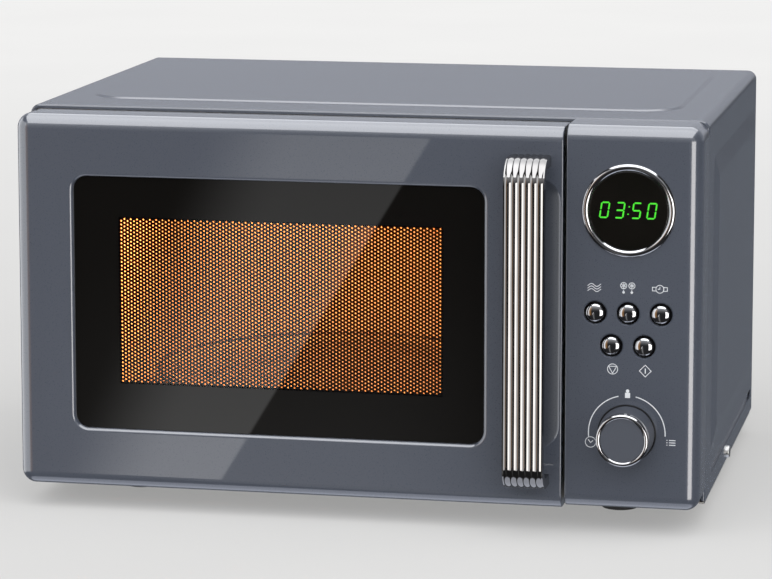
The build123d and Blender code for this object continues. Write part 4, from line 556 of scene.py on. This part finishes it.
# painted shadow: a black ring on the panel around the knob's base
SHADOW_RING_GAP, SHADOW_RING_EDGE = 1.0 * MM, 0.2 * MM
SHADOW_RING_BLACK = (0.004, 0.004, 0.005)
knob_colours = [[KNOB_SHADE * c for c in colour] for colour in SLATE]
dress("knob_body", finish("satin_slate_knob", knob_colours, (0.5, 0.6), 900.0, bump=0.02))
knob_low, knob_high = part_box("knob_body")
knob_axis = (knob_low + knob_high) / 2
shadow_ring_radius = (knob_high.x - knob_low.x) / 2 + SHADOW_RING_GAP
panel_paint_and_shadow = front_paint.copy()
panel_paint_and_shadow.name = "slate_lacquer_panel_and_knob_shadow"
tree = panel_paint_and_shadow.node_tree
place = place_on_piece(tree)
across = calc(tree, "SUBTRACT", place["X"], knob_axis.x)
upward = calc(tree, "SUBTRACT", place["Z"], knob_axis.z)
squares = [calc(tree, "POWER", length, 2.0) for length in (across, upward)]
from_axis = calc(tree, "SQRT", calc(tree, "ADD", *squares))
# painted shadow: mask of the black ring around the knob
in_shadow_ring = soft_step(tree, from_axis, shadow_ring_radius + SHADOW_RING_EDGE, shadow_ring_radius - SHADOW_RING_EDGE)
second_colour(panel_paint_and_shadow, in_shadow_ring, SHADOW_RING_BLACK)
dress("control_panel", panel_paint_and_shadow)
print("knob shadow ring radius", round(shadow_ring_radius, 4))

# %% [markdown]
# ## Door screen
# The screen behind the door glass is sheet steel, punched with staggered holes that are far smaller than the
# wavelength, so light passes and the microwaves stay in. Thousands of equal holes are a job for Geometry Nodes:
# one six-sided cell with its hole is instanced on a staggered lattice, realized and welded into one sheet. The
# plain border of the pressed tray is then filled in around the lattice.

# %% Lattice tree
FIELD_CORNER = Vector((-153.2, -139.0, 83.2)) * MM
FIELD_COLUMNS, FIELD_ROWS = 100, 44
HOLE_PITCH = 2.42 * MM
HOLE_RADIUS = 0.66 * MM
SCREEN_SHEET = 1.0 * MM
CELL_SIDES = 6
COLUMN_STEP = math.sqrt(0.75)  # of the pitch, between columns of a staggered lattice
WELD = 0.02 * MM


def add_node(tree, kind, **inputs):
    """Adds a node and feeds its inputs by name; spaces in a name are given as underscores."""
    node = tree.nodes.new(kind)
    for key, value in inputs.items():
        wire(tree, value, node.inputs[key.replace("_", " ")])
    return node


def growing_tree(name, inputs):
    """An empty Geometry Nodes tree with one geometry output, and its named inputs as sockets."""
    tree = bpy.data.node_groups.new(name, "GeometryNodeTree")
    for label, kind in inputs:
        tree.interface.new_socket(label, in_out="INPUT", socket_type="NodeSocket" + kind)
    tree.interface.new_socket("Geometry", in_out="OUTPUT", socket_type="NodeSocketGeometry")
    return tree, tree.nodes.new("NodeGroupInput").outputs


def lattice_tree():
    """Geometry nodes: hexagonal cells with a hole, side by side on a staggered lattice."""
    tree, sizes = growing_tree("punched_lattice", (
        ("Columns", "Int"), ("Rows", "Int"), ("Pitch", "Float"), ("Hole Radius", "Float"),
        ("Sheet", "Float"), ("Corner", "Vector"), ("Finish", "Material"),
    ))
    index = tree.nodes.new("GeometryNodeInputIndex").outputs["Index"]
    column = calc(tree, "FLOOR", calc(tree, "DIVIDE", index, sizes["Rows"]))
    row = calc(tree, "SUBTRACT", index, calc(tree, "MULTIPLY", column, sizes["Rows"]))
    stagger = calc(tree, "MULTIPLY", calc(tree, "MODULO", column, 2.0), 0.5)
    place = add_node(
        tree, "ShaderNodeCombineXYZ",
        X=calc(tree, "MULTIPLY", calc(tree, "MULTIPLY", column, COLUMN_STEP), sizes["Pitch"]),
        Z=calc(tree, "MULTIPLY", calc(tree, "ADD", row, stagger), sizes["Pitch"]),
    )
    grid = add_node(tree, "GeometryNodeMeshGrid", Vertices_X=sizes["Columns"], Vertices_Y=sizes["Rows"])
    corner = add_node(tree, "ShaderNodeVectorMath")
    tree.links.new(place.outputs["Vector"], corner.inputs[0])
    tree.links.new(sizes["Corner"], corner.inputs[1])
    points = add_node(tree, "GeometryNodeSetPosition", Geometry=grid.outputs["Mesh"],
                      Position=corner.outputs["Vector"])

    cell_radius = calc(tree, "DIVIDE", sizes["Pitch"], math.sqrt(3.0))
    rims = tree.nodes.new("GeometryNodeJoinGeometry")
    for radius in (sizes["Hole Radius"], cell_radius):
        rim = add_node(tree, "GeometryNodeCurvePrimitiveCircle", Resolution=CELL_SIDES, Radius=radius)
        tree.links.new(rim.outputs["Curve"], rims.inputs["Geometry"])
    plate = add_node(tree, "GeometryNodeFillCurve", Curve=rims.outputs["Geometry"])
    tube = add_node(tree, "GeometryNodeMeshCylinder", Vertices=CELL_SIDES, Radius=sizes["Hole Radius"],
                    Depth=sizes["Sheet"])
    tube.fill_type = "NONE"
    back_of = add_node(tree, "ShaderNodeCombineXYZ", Y=sizes["Sheet"])
    middle_of = add_node(tree, "ShaderNodeCombineXYZ", Y=calc(tree, "MULTIPLY", sizes["Sheet"], 0.5))
    upright = (math.radians(90), 0.0, 0.0)
    front = add_node(tree, "GeometryNodeTransform", Geometry=plate.outputs["Mesh"], Rotation=upright)
    rear = add_node(tree, "GeometryNodeTransform", Geometry=front.outputs["Geometry"],
                    Translation=back_of.outputs["Vector"])
    rear = add_node(tree, "GeometryNodeFlipFaces", Mesh=rear.outputs["Geometry"])
    bore = add_node(tree, "GeometryNodeTransform", Geometry=tube.outputs["Mesh"], Rotation=upright,
                    Translation=middle_of.outputs["Vector"])
    bore = add_node(tree, "GeometryNodeFlipFaces", Mesh=bore.outputs["Geometry"])
    cell = tree.nodes.new("GeometryNodeJoinGeometry")
    for part in (front.outputs["Geometry"], rear.outputs["Mesh"], bore.outputs["Mesh"]):
        tree.links.new(part, cell.inputs["Geometry"])
    cells = add_node(tree, "GeometryNodeInstanceOnPoints", Points=points.outputs["Geometry"],
                     Instance=cell.outputs["Geometry"])
    sheet = add_node(tree, "GeometryNodeRealizeInstances", Geometry=cells.outputs["Instances"])
    welded = add_node(tree, "GeometryNodeMergeByDistance", Geometry=sheet.outputs["Geometry"], Distance=WELD)
    made = add_node(tree, "GeometryNodeSetMaterial", Geometry=welded.outputs["Geometry"], Material=sizes["Finish"])
    tree.links.new(made.outputs["Geometry"], tree.nodes.new("NodeGroupOutput").inputs["Geometry"])
    return tree


def grown_mesh(name, tree, settings):
    """Runs a node tree on an empty object and returns the result as a plain mesh."""
    carrier = bpy.data.objects.new(name, bpy.data.meshes.new(name))
    bpy.context.scene.collection.objects.link(carrier)
    modifier = carrier.modifiers.new("grow", "NODES")
    modifier.node_group = tree
    for item in tree.interface.items_tree:
        if item.in_out == "INPUT":
            modifier[item.identifier] = settings[item.name]
    graph = bpy.context.evaluated_depsgraph_get()
    mesh = bpy.data.meshes.new_from_object(carrier.evaluated_get(graph))
    bpy.data.objects.remove(carrier)
    return mesh


lattice = grown_mesh("lattice", lattice_tree(), {
    "Columns": FIELD_COLUMNS, "Rows": FIELD_ROWS, "Pitch": HOLE_PITCH, "Hole Radius": HOLE_RADIUS,
    "Sheet": SCREEN_SHEET, "Corner": FIELD_CORNER, "Finish": FINISHES["screen_steel"],
})
print("lattice faces", len(lattice.polygons))

# %% [markdown]
# The border closes the sheet: each rim of the lattice is joined to a rectangle of the tray's size, in front and
# behind, and four walls turn back towards the cavity, as on the real pressed tray.


# %% Screen tray
def screen_tray(lattice, low, high, sheet):
    """The punched field, its border and the tray's walls as one closed mesh."""
    tray = bmesh.new()
    tray.from_mesh(lattice)
    rims = [edge for edge in tray.edges if edge.is_boundary]
    outer = [(low.x, low.z), (high.x, low.z), (high.x, high.z), (low.x, high.z)]
    inner = [(low.x + sheet, low.z + sheet), (high.x - sheet, low.z + sheet),
             (high.x - sheet, high.z - sheet), (low.x + sheet, high.z - sheet)]
    loops = {}
    for key, corners, y in (("front", outer, low.y), ("behind", inner, low.y + sheet),
                            ("lip_out", outer, high.y), ("lip_in", inner, high.y)):
        loops[key] = [tray.verts.new((x, y, z)) for x, z in corners]
    for key in ("front", "behind"):
        loop = loops[key]
        edges = [tray.edges.new((loop[i], loop[(i + 1) % 4])) for i in range(4)]
        level, near = loop[0].co.y, 0.1 * sheet
        edges += [edge for edge in rims if abs(edge.verts[0].co.y - level) < near]
        bmesh.ops.triangle_fill(tray, edges=edges, use_beauty=True)
    for one, other in (("front", "lip_out"), ("lip_out", "lip_in"), ("lip_in", "behind")):
        a, b = loops[one], loops[other]
        for i in range(4):
            tray.faces.new((a[i], a[(i + 1) % 4], b[(i + 1) % 4], b[i]))
    bmesh.ops.recalc_face_normals(tray, faces=tray.faces)
    mesh = bpy.data.meshes.new("punched_screen")
    open_edges = sum(edge.is_boundary for edge in tray.edges)
    tray.to_mesh(mesh)
    tray.free()
    print("screen triangles", sum(len(p.vertices) - 2 for p in mesh.polygons), "open edges", open_edges)
    return mesh


def add_piece(name, mesh, body, slot, material=None):
    """Puts a mesh in the scene as a piece that rides on a body."""
    piece = bpy.data.objects.new(name, mesh)
    bpy.context.scene.collection.objects.link(piece)
    mesh.materials.clear()
    mesh.materials.append(material or FINISHES[slot])
    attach(piece, body)
    return piece


screen_mesh = screen_tray(lattice, *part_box("door_screen"), SCREEN_SHEET)
screen = add_piece("punched_screen", screen_mesh, "door", "screen_steel")
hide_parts("door_screen")

# %% [markdown]
# The glass in front of the screen has a black print on its rim, so only the punched field shows through. A mask
# on the glass stands for the print: outside the field the glass lets no light through and keeps its gloss. The
# black starts a little inside the clear field, so that no pale line is left between the two.

# %% Printed rim of the door glass
PRINT_BLACK = (0.004, 0.0035, 0.003)
PRINT_EDGE, PRINT_OVERLAP = 0.1 * MM, 0.4 * MM
FIELD_SIZE = Vector((FIELD_COLUMNS * COLUMN_STEP, 0.0, FIELD_ROWS)) * HOLE_PITCH
LOW_MARGIN, HIGH_MARGIN = Vector((0.6, 0.0, 0.0)) * MM, Vector((1.4, 0.0, 1.4)) * MM
CLEAR_LOW = FIELD_CORNER + LOW_MARGIN
CLEAR_HIGH = FIELD_CORNER + FIELD_SIZE + HIGH_MARGIN
door_glass = FINISHES["window_glass"]
tree = door_glass.node_tree
place = place_on_piece(tree)


def within_field(inset):
    """1 inside the clear field, drawn in by an inset."""
    across = span(tree, place["X"], CLEAR_LOW.x + inset, CLEAR_HIGH.x - inset, PRINT_EDGE)
    upward = span(tree, place["Z"], CLEAR_LOW.z + inset, CLEAR_HIGH.z - inset, PRINT_EDGE)
    return calc(tree, "MULTIPLY", across, upward)


second_colour(door_glass, rest_of(tree, within_field(PRINT_OVERLAP)), PRINT_BLACK)
clear = within_field(0.0)
tree.links.new(clear, shader_of(door_glass).inputs["Transmission Weight"])
tree.links.new(rest_of(tree, clear), shader_of(door_glass).inputs["Coat Weight"])
set_surface(door_glass, Coat_IOR=1.24, Coat_Roughness=0.0)
print("clear field", [round(x, 4) for x in CLEAR_LOW], [round(x, 4) for x in CLEAR_HIGH])

# %% [markdown]
# ## Return spring of the latch
# The coil inside the door is wound from steel wire and pushes the latch bar down. A solid coil cannot shorten;
# here the wire is grown along a spiral instead, as a piece that rides on the door.

# %% Latch coil
COIL_TURNS = 6
COIL_STEPS, WIRE_SIDES = 32, 12
WIRE_RADIUS = 0.4 * MM
END_ROOM = 2.2  # wire radii that the ends of the spiral keep off the spring's height


def coil_tree():
    """Geometry nodes: round wire along a spiral."""
    tree, sizes = growing_tree("wound_wire", (
        ("Turns", "Float"), ("Coil Radius", "Float"), ("Length", "Float"), ("Wire Radius", "Float"),
        ("Foot", "Vector"), ("Finish", "Material"),
    ))
    spiral = add_node(tree, "GeometryNodeCurveSpiral", Resolution=COIL_STEPS, Rotations=sizes["Turns"],
                      Start_Radius=sizes["Coil Radius"], End_Radius=sizes["Coil Radius"], Height=sizes["Length"])
    wire_round = add_node(tree, "GeometryNodeCurvePrimitiveCircle", Resolution=WIRE_SIDES,
                          Radius=sizes["Wire Radius"])
    wound = add_node(tree, "GeometryNodeCurveToMesh", Curve=spiral.outputs["Curve"],
                     Profile_Curve=wire_round.outputs["Curve"], Fill_Caps=True)
    placed = add_node(tree, "GeometryNodeTransform", Geometry=wound.outputs["Mesh"], Translation=sizes["Foot"])
    made = add_node(tree, "GeometryNodeRealizeInstances", Geometry=placed.outputs["Geometry"])
    made = add_node(tree, "GeometryNodeSetMaterial", Geometry=made.outputs["Geometry"], Material=sizes["Finish"])
    tree.links.new(made.outputs["Geometry"], tree.nodes.new("NodeGroupOutput").inputs["Geometry"])
    return tree


low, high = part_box("latch_spring")
foot = Vector(((low.x + high.x) / 2, (low.y + high.y) / 2, low.z + WIRE_RADIUS))
coil_mesh = grown_mesh("latch_coil", coil_tree(), {
    "Turns": float(COIL_TURNS), "Coil Radius": (high.x - low.x) / 2 - WIRE_RADIUS,
    "Length": high.z - low.z - END_ROOM * WIRE_RADIUS, "Wire Radius": WIRE_RADIUS, "Foot": foot,
    "Finish": FINISHES["plain_steel"],
})
coil = add_piece("latch_coil", coil_mesh, "door", "plain_steel")
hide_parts("latch_spring")
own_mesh(coil)
print("coil faces", len(coil_mesh.polygons), "from", round(low.z, 4), "to", round(high.z, 4))

# %% [markdown]
# ## Marks on the control panel
# The marks are pad-printed in pale grey: a line of ink stands a few hundredths of a millimetre proud. Each mark is
# a set of strokes, drawn as flat ribbons in the panel's plane and given that thickness. Places and widths are in
# millimetres, as they would be on a drawing of the panel.

# %% Stroke helpers
INK = 0.05 * MM
INK_WIDTH = 0.38
SHARPEST_CORNER = 0.4  # limits how far a stroke widens where it turns
marks = bmesh.new()


def ribbon(shape, points, width, closed, face_y):
    """A stroke of even width along points in the panel's plane, added to a bmesh as a thin solid."""
    count = len(points)
    sides = []
    for i, point in enumerate(points):
        before = points[i - 1] if closed or i else points[i]
        after = points[(i + 1) % count] if closed or i < count - 1 else points[i]
        one, two = (Vector(point) - Vector(before)), (Vector(after) - Vector(point))
        one = one.normalized() if one.length else two.normalized()
        two = two.normalized() if two.length else one
        tangent = (one + two).normalized()
        across = Vector((-tangent.y, tangent.x)) * width / 2
        across /= max(SHARPEST_CORNER, tangent.dot(one))
        sides.append((Vector(point) + across, Vector(point) - across))
    rows = []
    for y in (face_y - INK, face_y + INK / 2):
        rows.append([[shape.verts.new((p.x * MM, y, p.y * MM)) for p in pair] for pair in sides])
    front, rear = rows
    for i in range(count if closed else count - 1):
        j = (i + 1) % count
        shape.faces.new((front[i][0], front[j][0], front[j][1], front[i][1]))
        shape.faces.new((rear[i][1], rear[j][1], rear[j][0], rear[i][0]))
        shape.faces.new((rear[i][0], rear[j][0], front[j][0], front[i][0]))
        shape.faces.new((front[i][1], front[j][1], rear[j][1], rear[i][1]))
    if not closed:
        for i in (0, count - 1):
            shape.faces.new((front[i][0], front[i][1], rear[i][1], rear[i][0]))


def stroke(points, closed=False, width=INK_WIDTH):
    """One printed line."""
    ribbon(marks, points, width, closed, PANEL_FACE_Y)


def steps_from(place, *steps):
    """Points given as steps from a mark's place."""
    return [(place[0] + dx, place[1] + dz) for dx, dz in steps]


def arc(x, z, radius, start, end, steps):
    """Points on an arc about (x, z); angles in degrees from +X towards +Z."""
    turns = [math.radians(start + (end - start) * i / steps) for i in range(steps + 1)]
    return [(x + radius * math.cos(t), z + radius * math.sin(t)) for t in turns]


def ring(x, z, radius, steps=36):
    """Points all round (x, z)."""
    return arc(x, z, radius, 0, 360, steps)[:-1]


print("ink height", INK, "line width", INK_WIDTH * MM)

# %% [markdown]
# Above the upper buttons stand three waves for power, two ice crystals with their drops for defrosting, and a watch
# for the clock. A spot is a ring so wide that its hole all but closes.

# %% Marks of the upper buttons
POWER_MARK, WAVE_WIDTH, WAVE_SWING, WAVE_STEPS = (153.4, 156.8), 8.4, 0.9, 24
CRYSTALS, CRYSTAL_ARM = ((171.7, 158.6), (176.8, 158.6)), 2.1
CLOCK_MARK = (194.2, 157.1)
for lift in (-1.6, 0.0, 1.6):
    wave = []
    for step in range(WAVE_STEPS + 1):
        part = step / WAVE_STEPS
        swing = WAVE_SWING * math.sin(2.5 * math.pi * part - 0.7)
        wave.append((WAVE_WIDTH * (part - 0.5), lift + swing))
    stroke(steps_from(POWER_MARK, *wave))
for crystal in CRYSTALS:
    for turn in (30, 90, 150):
        angle = math.radians(turn)
        dx, dz = CRYSTAL_ARM * math.cos(angle), CRYSTAL_ARM * math.sin(angle)
        stroke(steps_from(crystal, (-dx, -dz), (dx, dz)), width=0.36)
    stroke(ring(*crystal, 0.85, 12), True, 0.3)
    stroke(ring(*crystal, 1.95, 18), True, 0.42)
    stroke(steps_from(crystal, (0, -2.6), (0, -4.0)), width=0.42)
    stroke(ring(crystal[0], crystal[1] - 4.2, 0.4, 12), True, 0.79)
stroke(ring(*CLOCK_MARK, 2.45), True)
stroke(steps_from(CLOCK_MARK, (0, 1.6), (0, 0), (-1.3, 0)))
for way in (-1, 1):
    stroke(steps_from(CLOCK_MARK, (2.3 * way, 1.15), (4.6 * way, 1.15), (4.6 * way, -1.15), (2.3 * way, -1.15)))
print("upper marks", len(marks.faces), "faces")

# %% [markdown]
# Below the lower buttons are a triangle in a ring for stop and a bar in a diamond for start. Around the knob are a
# weight, a clock face and a short list, joined by a scale line that keeps clear of the weight.

# %% Marks of the lower buttons and the knob
STOP_MARK, START_MARK = (165.3, 105.9), (185.7, 105.4)
WEIGHT_MARK, TIME_MARK, LIST_MARK = (174.8, 89.6), (151.9, 59.1), (199.4, 60.7)
SCALE_RADIUS, SCALE_STEPS = 24.0, 40
stroke(ring(*STOP_MARK, 3.2), True)
stroke(steps_from(STOP_MARK, (-2.5, 1.7), (2.5, 1.7), (0, -2.7)), True)
stroke(steps_from(START_MARK, (0, 3.7), (3.7, 0), (0, -3.7), (-3.7, 0)), True)
stroke(steps_from(START_MARK, (0, 1.6), (0, -1.6)), width=0.6)
stroke(steps_from(WEIGHT_MARK, (-1.6, 0), (1.6, 0)), width=3.3)
stroke(ring(WEIGHT_MARK[0], WEIGHT_MARK[1] + 2.7, 0.55, 14), True, 1.05)
stroke(ring(*TIME_MARK, 3.3), True)
stroke(steps_from(TIME_MARK, (-1.5, 1.6), (0, -0.4), (1.5, 1.0)), width=0.45)
for row in (1.5, 0.0, -1.5):
    stroke(steps_from(LIST_MARK, (0, row), (0.6, row)), width=0.55)
    stroke(steps_from(LIST_MARK, (1.6, row), (5.6, row)), width=0.5)
for start, end in ((188, 103), (77, -2)):
    stroke(arc(knob_axis.x / MM, knob_axis.z / MM, SCALE_RADIUS, start, end, SCALE_STEPS), width=0.6)
bmesh.ops.recalc_face_normals(marks, faces=marks.faces)
marks_mesh = bpy.data.meshes.new("panel_marks")
marks.to_mesh(marks_mesh)
marks.free()
ink = finish("pale_ink", ((0.62, 0.64, 0.67), (0.70, 0.72, 0.75)), (0.4, 0.55), 900.0)
add_piece("panel_marks", marks_mesh, "housing", "white_plastic", ink)
print("marks", len(marks_mesh.polygons), "faces")

# %% [markdown]
# ## Lit digits
# The clock is a row of seven-segment digits, leaning a little to the right. Each bar is a flat six-cornered plate
# that glows green through the smoked lens; here it lies on the lens, where it shows the same.

# %% Digits
READING = "0350"
SEGMENTS = {"0": "abcdef", "3": "abcdg", "5": "acdfg"}
DIGIT_W, DIGIT_H, LEAN, BAR = 6.0, 10.6, 0.15, 0.98
BAR_INSET, BAR_GAP, BAR_SHOULDER = 0.6, 0.12, 0.62
DIGIT_PLACES, DIGITS_LOW = (155.7, 165.2, 175.6, 185.0), 200.4
COLON_PLACE, COLON_WIDTH, COLON_HEIGHTS = 172.9, 1.35, (3.0, 7.6)
LENS_FACE_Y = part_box("display_lens")[0].y
digits = bmesh.new()


def glow_bar(x, ends):
    """One bar between two corners of the digit's cell."""
    start, end = [Vector(corner) for corner in ends]
    run = (end - start).normalized()
    across = Vector((-run.y, run.x)) * BAR / 2
    outline = []
    for tip, way in ((start, 1), (end, -1)):
        shoulder = tip + run * way * (BAR * BAR_SHOULDER)
        outline += [shoulder - across * way, tip + run * way * BAR_GAP, shoulder + across * way]
    outline = [((x + p.x + LEAN * p.y) * MM, (p.y + DIGITS_LOW) * MM) for p in outline]
    front, rear = [[digits.verts.new((px, y, pz)) for px, pz in outline]
                   for y in (LENS_FACE_Y - INK, LENS_FACE_Y + INK / 2)]
    digits.faces.new(front)
    digits.faces.new(rear)
    for i in range(len(outline)):
        j = (i + 1) % len(outline)
        digits.faces.new((front[i], front[j], rear[j], rear[i]))


left, right = BAR_INSET, DIGIT_W - BAR_INSET
bottom, middle, top = BAR_INSET, DIGIT_H / 2, DIGIT_H - BAR_INSET
BARS = {
    "a": ((left, top), (right, top)), "b": ((right, top), (right, middle)), "c": ((right, middle), (right, bottom)),
    "d": ((left, bottom), (right, bottom)), "e": ((left, middle), (left, bottom)),
    "f": ((left, top), (left, middle)), "g": ((left, middle), (right, middle)),
}
for x, digit in zip(DIGIT_PLACES, READING):
    for name in SEGMENTS[digit]:
        glow_bar(x, BARS[name])
for z in COLON_HEIGHTS:
    glow_bar(COLON_PLACE, ((0.0, z), (COLON_WIDTH, z)))
bmesh.ops.recalc_face_normals(digits, faces=digits.faces)
digits_mesh = bpy.data.meshes.new("display_digits")
digits.to_mesh(digits_mesh)
digits.free()
glow_green = finish("green_glow", ((0.01, 0.25, 0.01), (0.02, 0.35, 0.01)), (0.3, 0.4), 600.0)
set_surface(glow_green, Emission_Color=(0.06, 0.55, 0.02, 1.0), Emission_Strength=0.9)
add_piece("display_digits", digits_mesh, "housing", "display_tint", glow_green)
print("digit faces", len(digits_mesh.polygons))

# %% [markdown]
# ## Light in the cavity
# A filament lamp lights the real cavity with a warm glow, strongest on the left wall. A small warm lamp under the
# ceiling does the same here, so the enamel shines through the punched screen. The door's seal keeps the glow
# inside, so the floor is left out of what the lamp lights.

# %% Cavity lamp
LAMP_COLOUR, LAMP_POWER = (1.0, 0.28, 0.065), 7.0
LAMP_SIZE, LAMP_SPREAD = 0.05, math.radians(170)
LAMP_PLACE, LAMP_BACK = Vector((-0.03, -0.07, 0.205)), Vector((0.75, -0.4, 0.6))
lamp_data = bpy.data.lights.new("cavity_lamp", "AREA")
lamp_data.energy = LAMP_POWER
lamp_data.color = LAMP_COLOUR
lamp_data.size = LAMP_SIZE
lamp_data.spread = LAMP_SPREAD
lamp = bpy.data.objects.new("cavity_lamp", lamp_data)
lamp.location = LAMP_PLACE
lamp.rotation_euler = LAMP_BACK.to_track_quat("Z", "Y").to_euler()
lamp.visible_camera = False
lamp.visible_glossy = False
lamp.visible_transmission = False
unlit = bpy.data.collections.new("not_lit_by_cavity_lamp")
unlit.objects.link(floor)
unlit.collection_objects[0].light_linking.link_state = "EXCLUDE"
lamp.light_linking.receiver_collection = unlit
bpy.context.scene.collection.objects.link(lamp)
print("lamp at", [round(x, 3) for x in lamp.location])
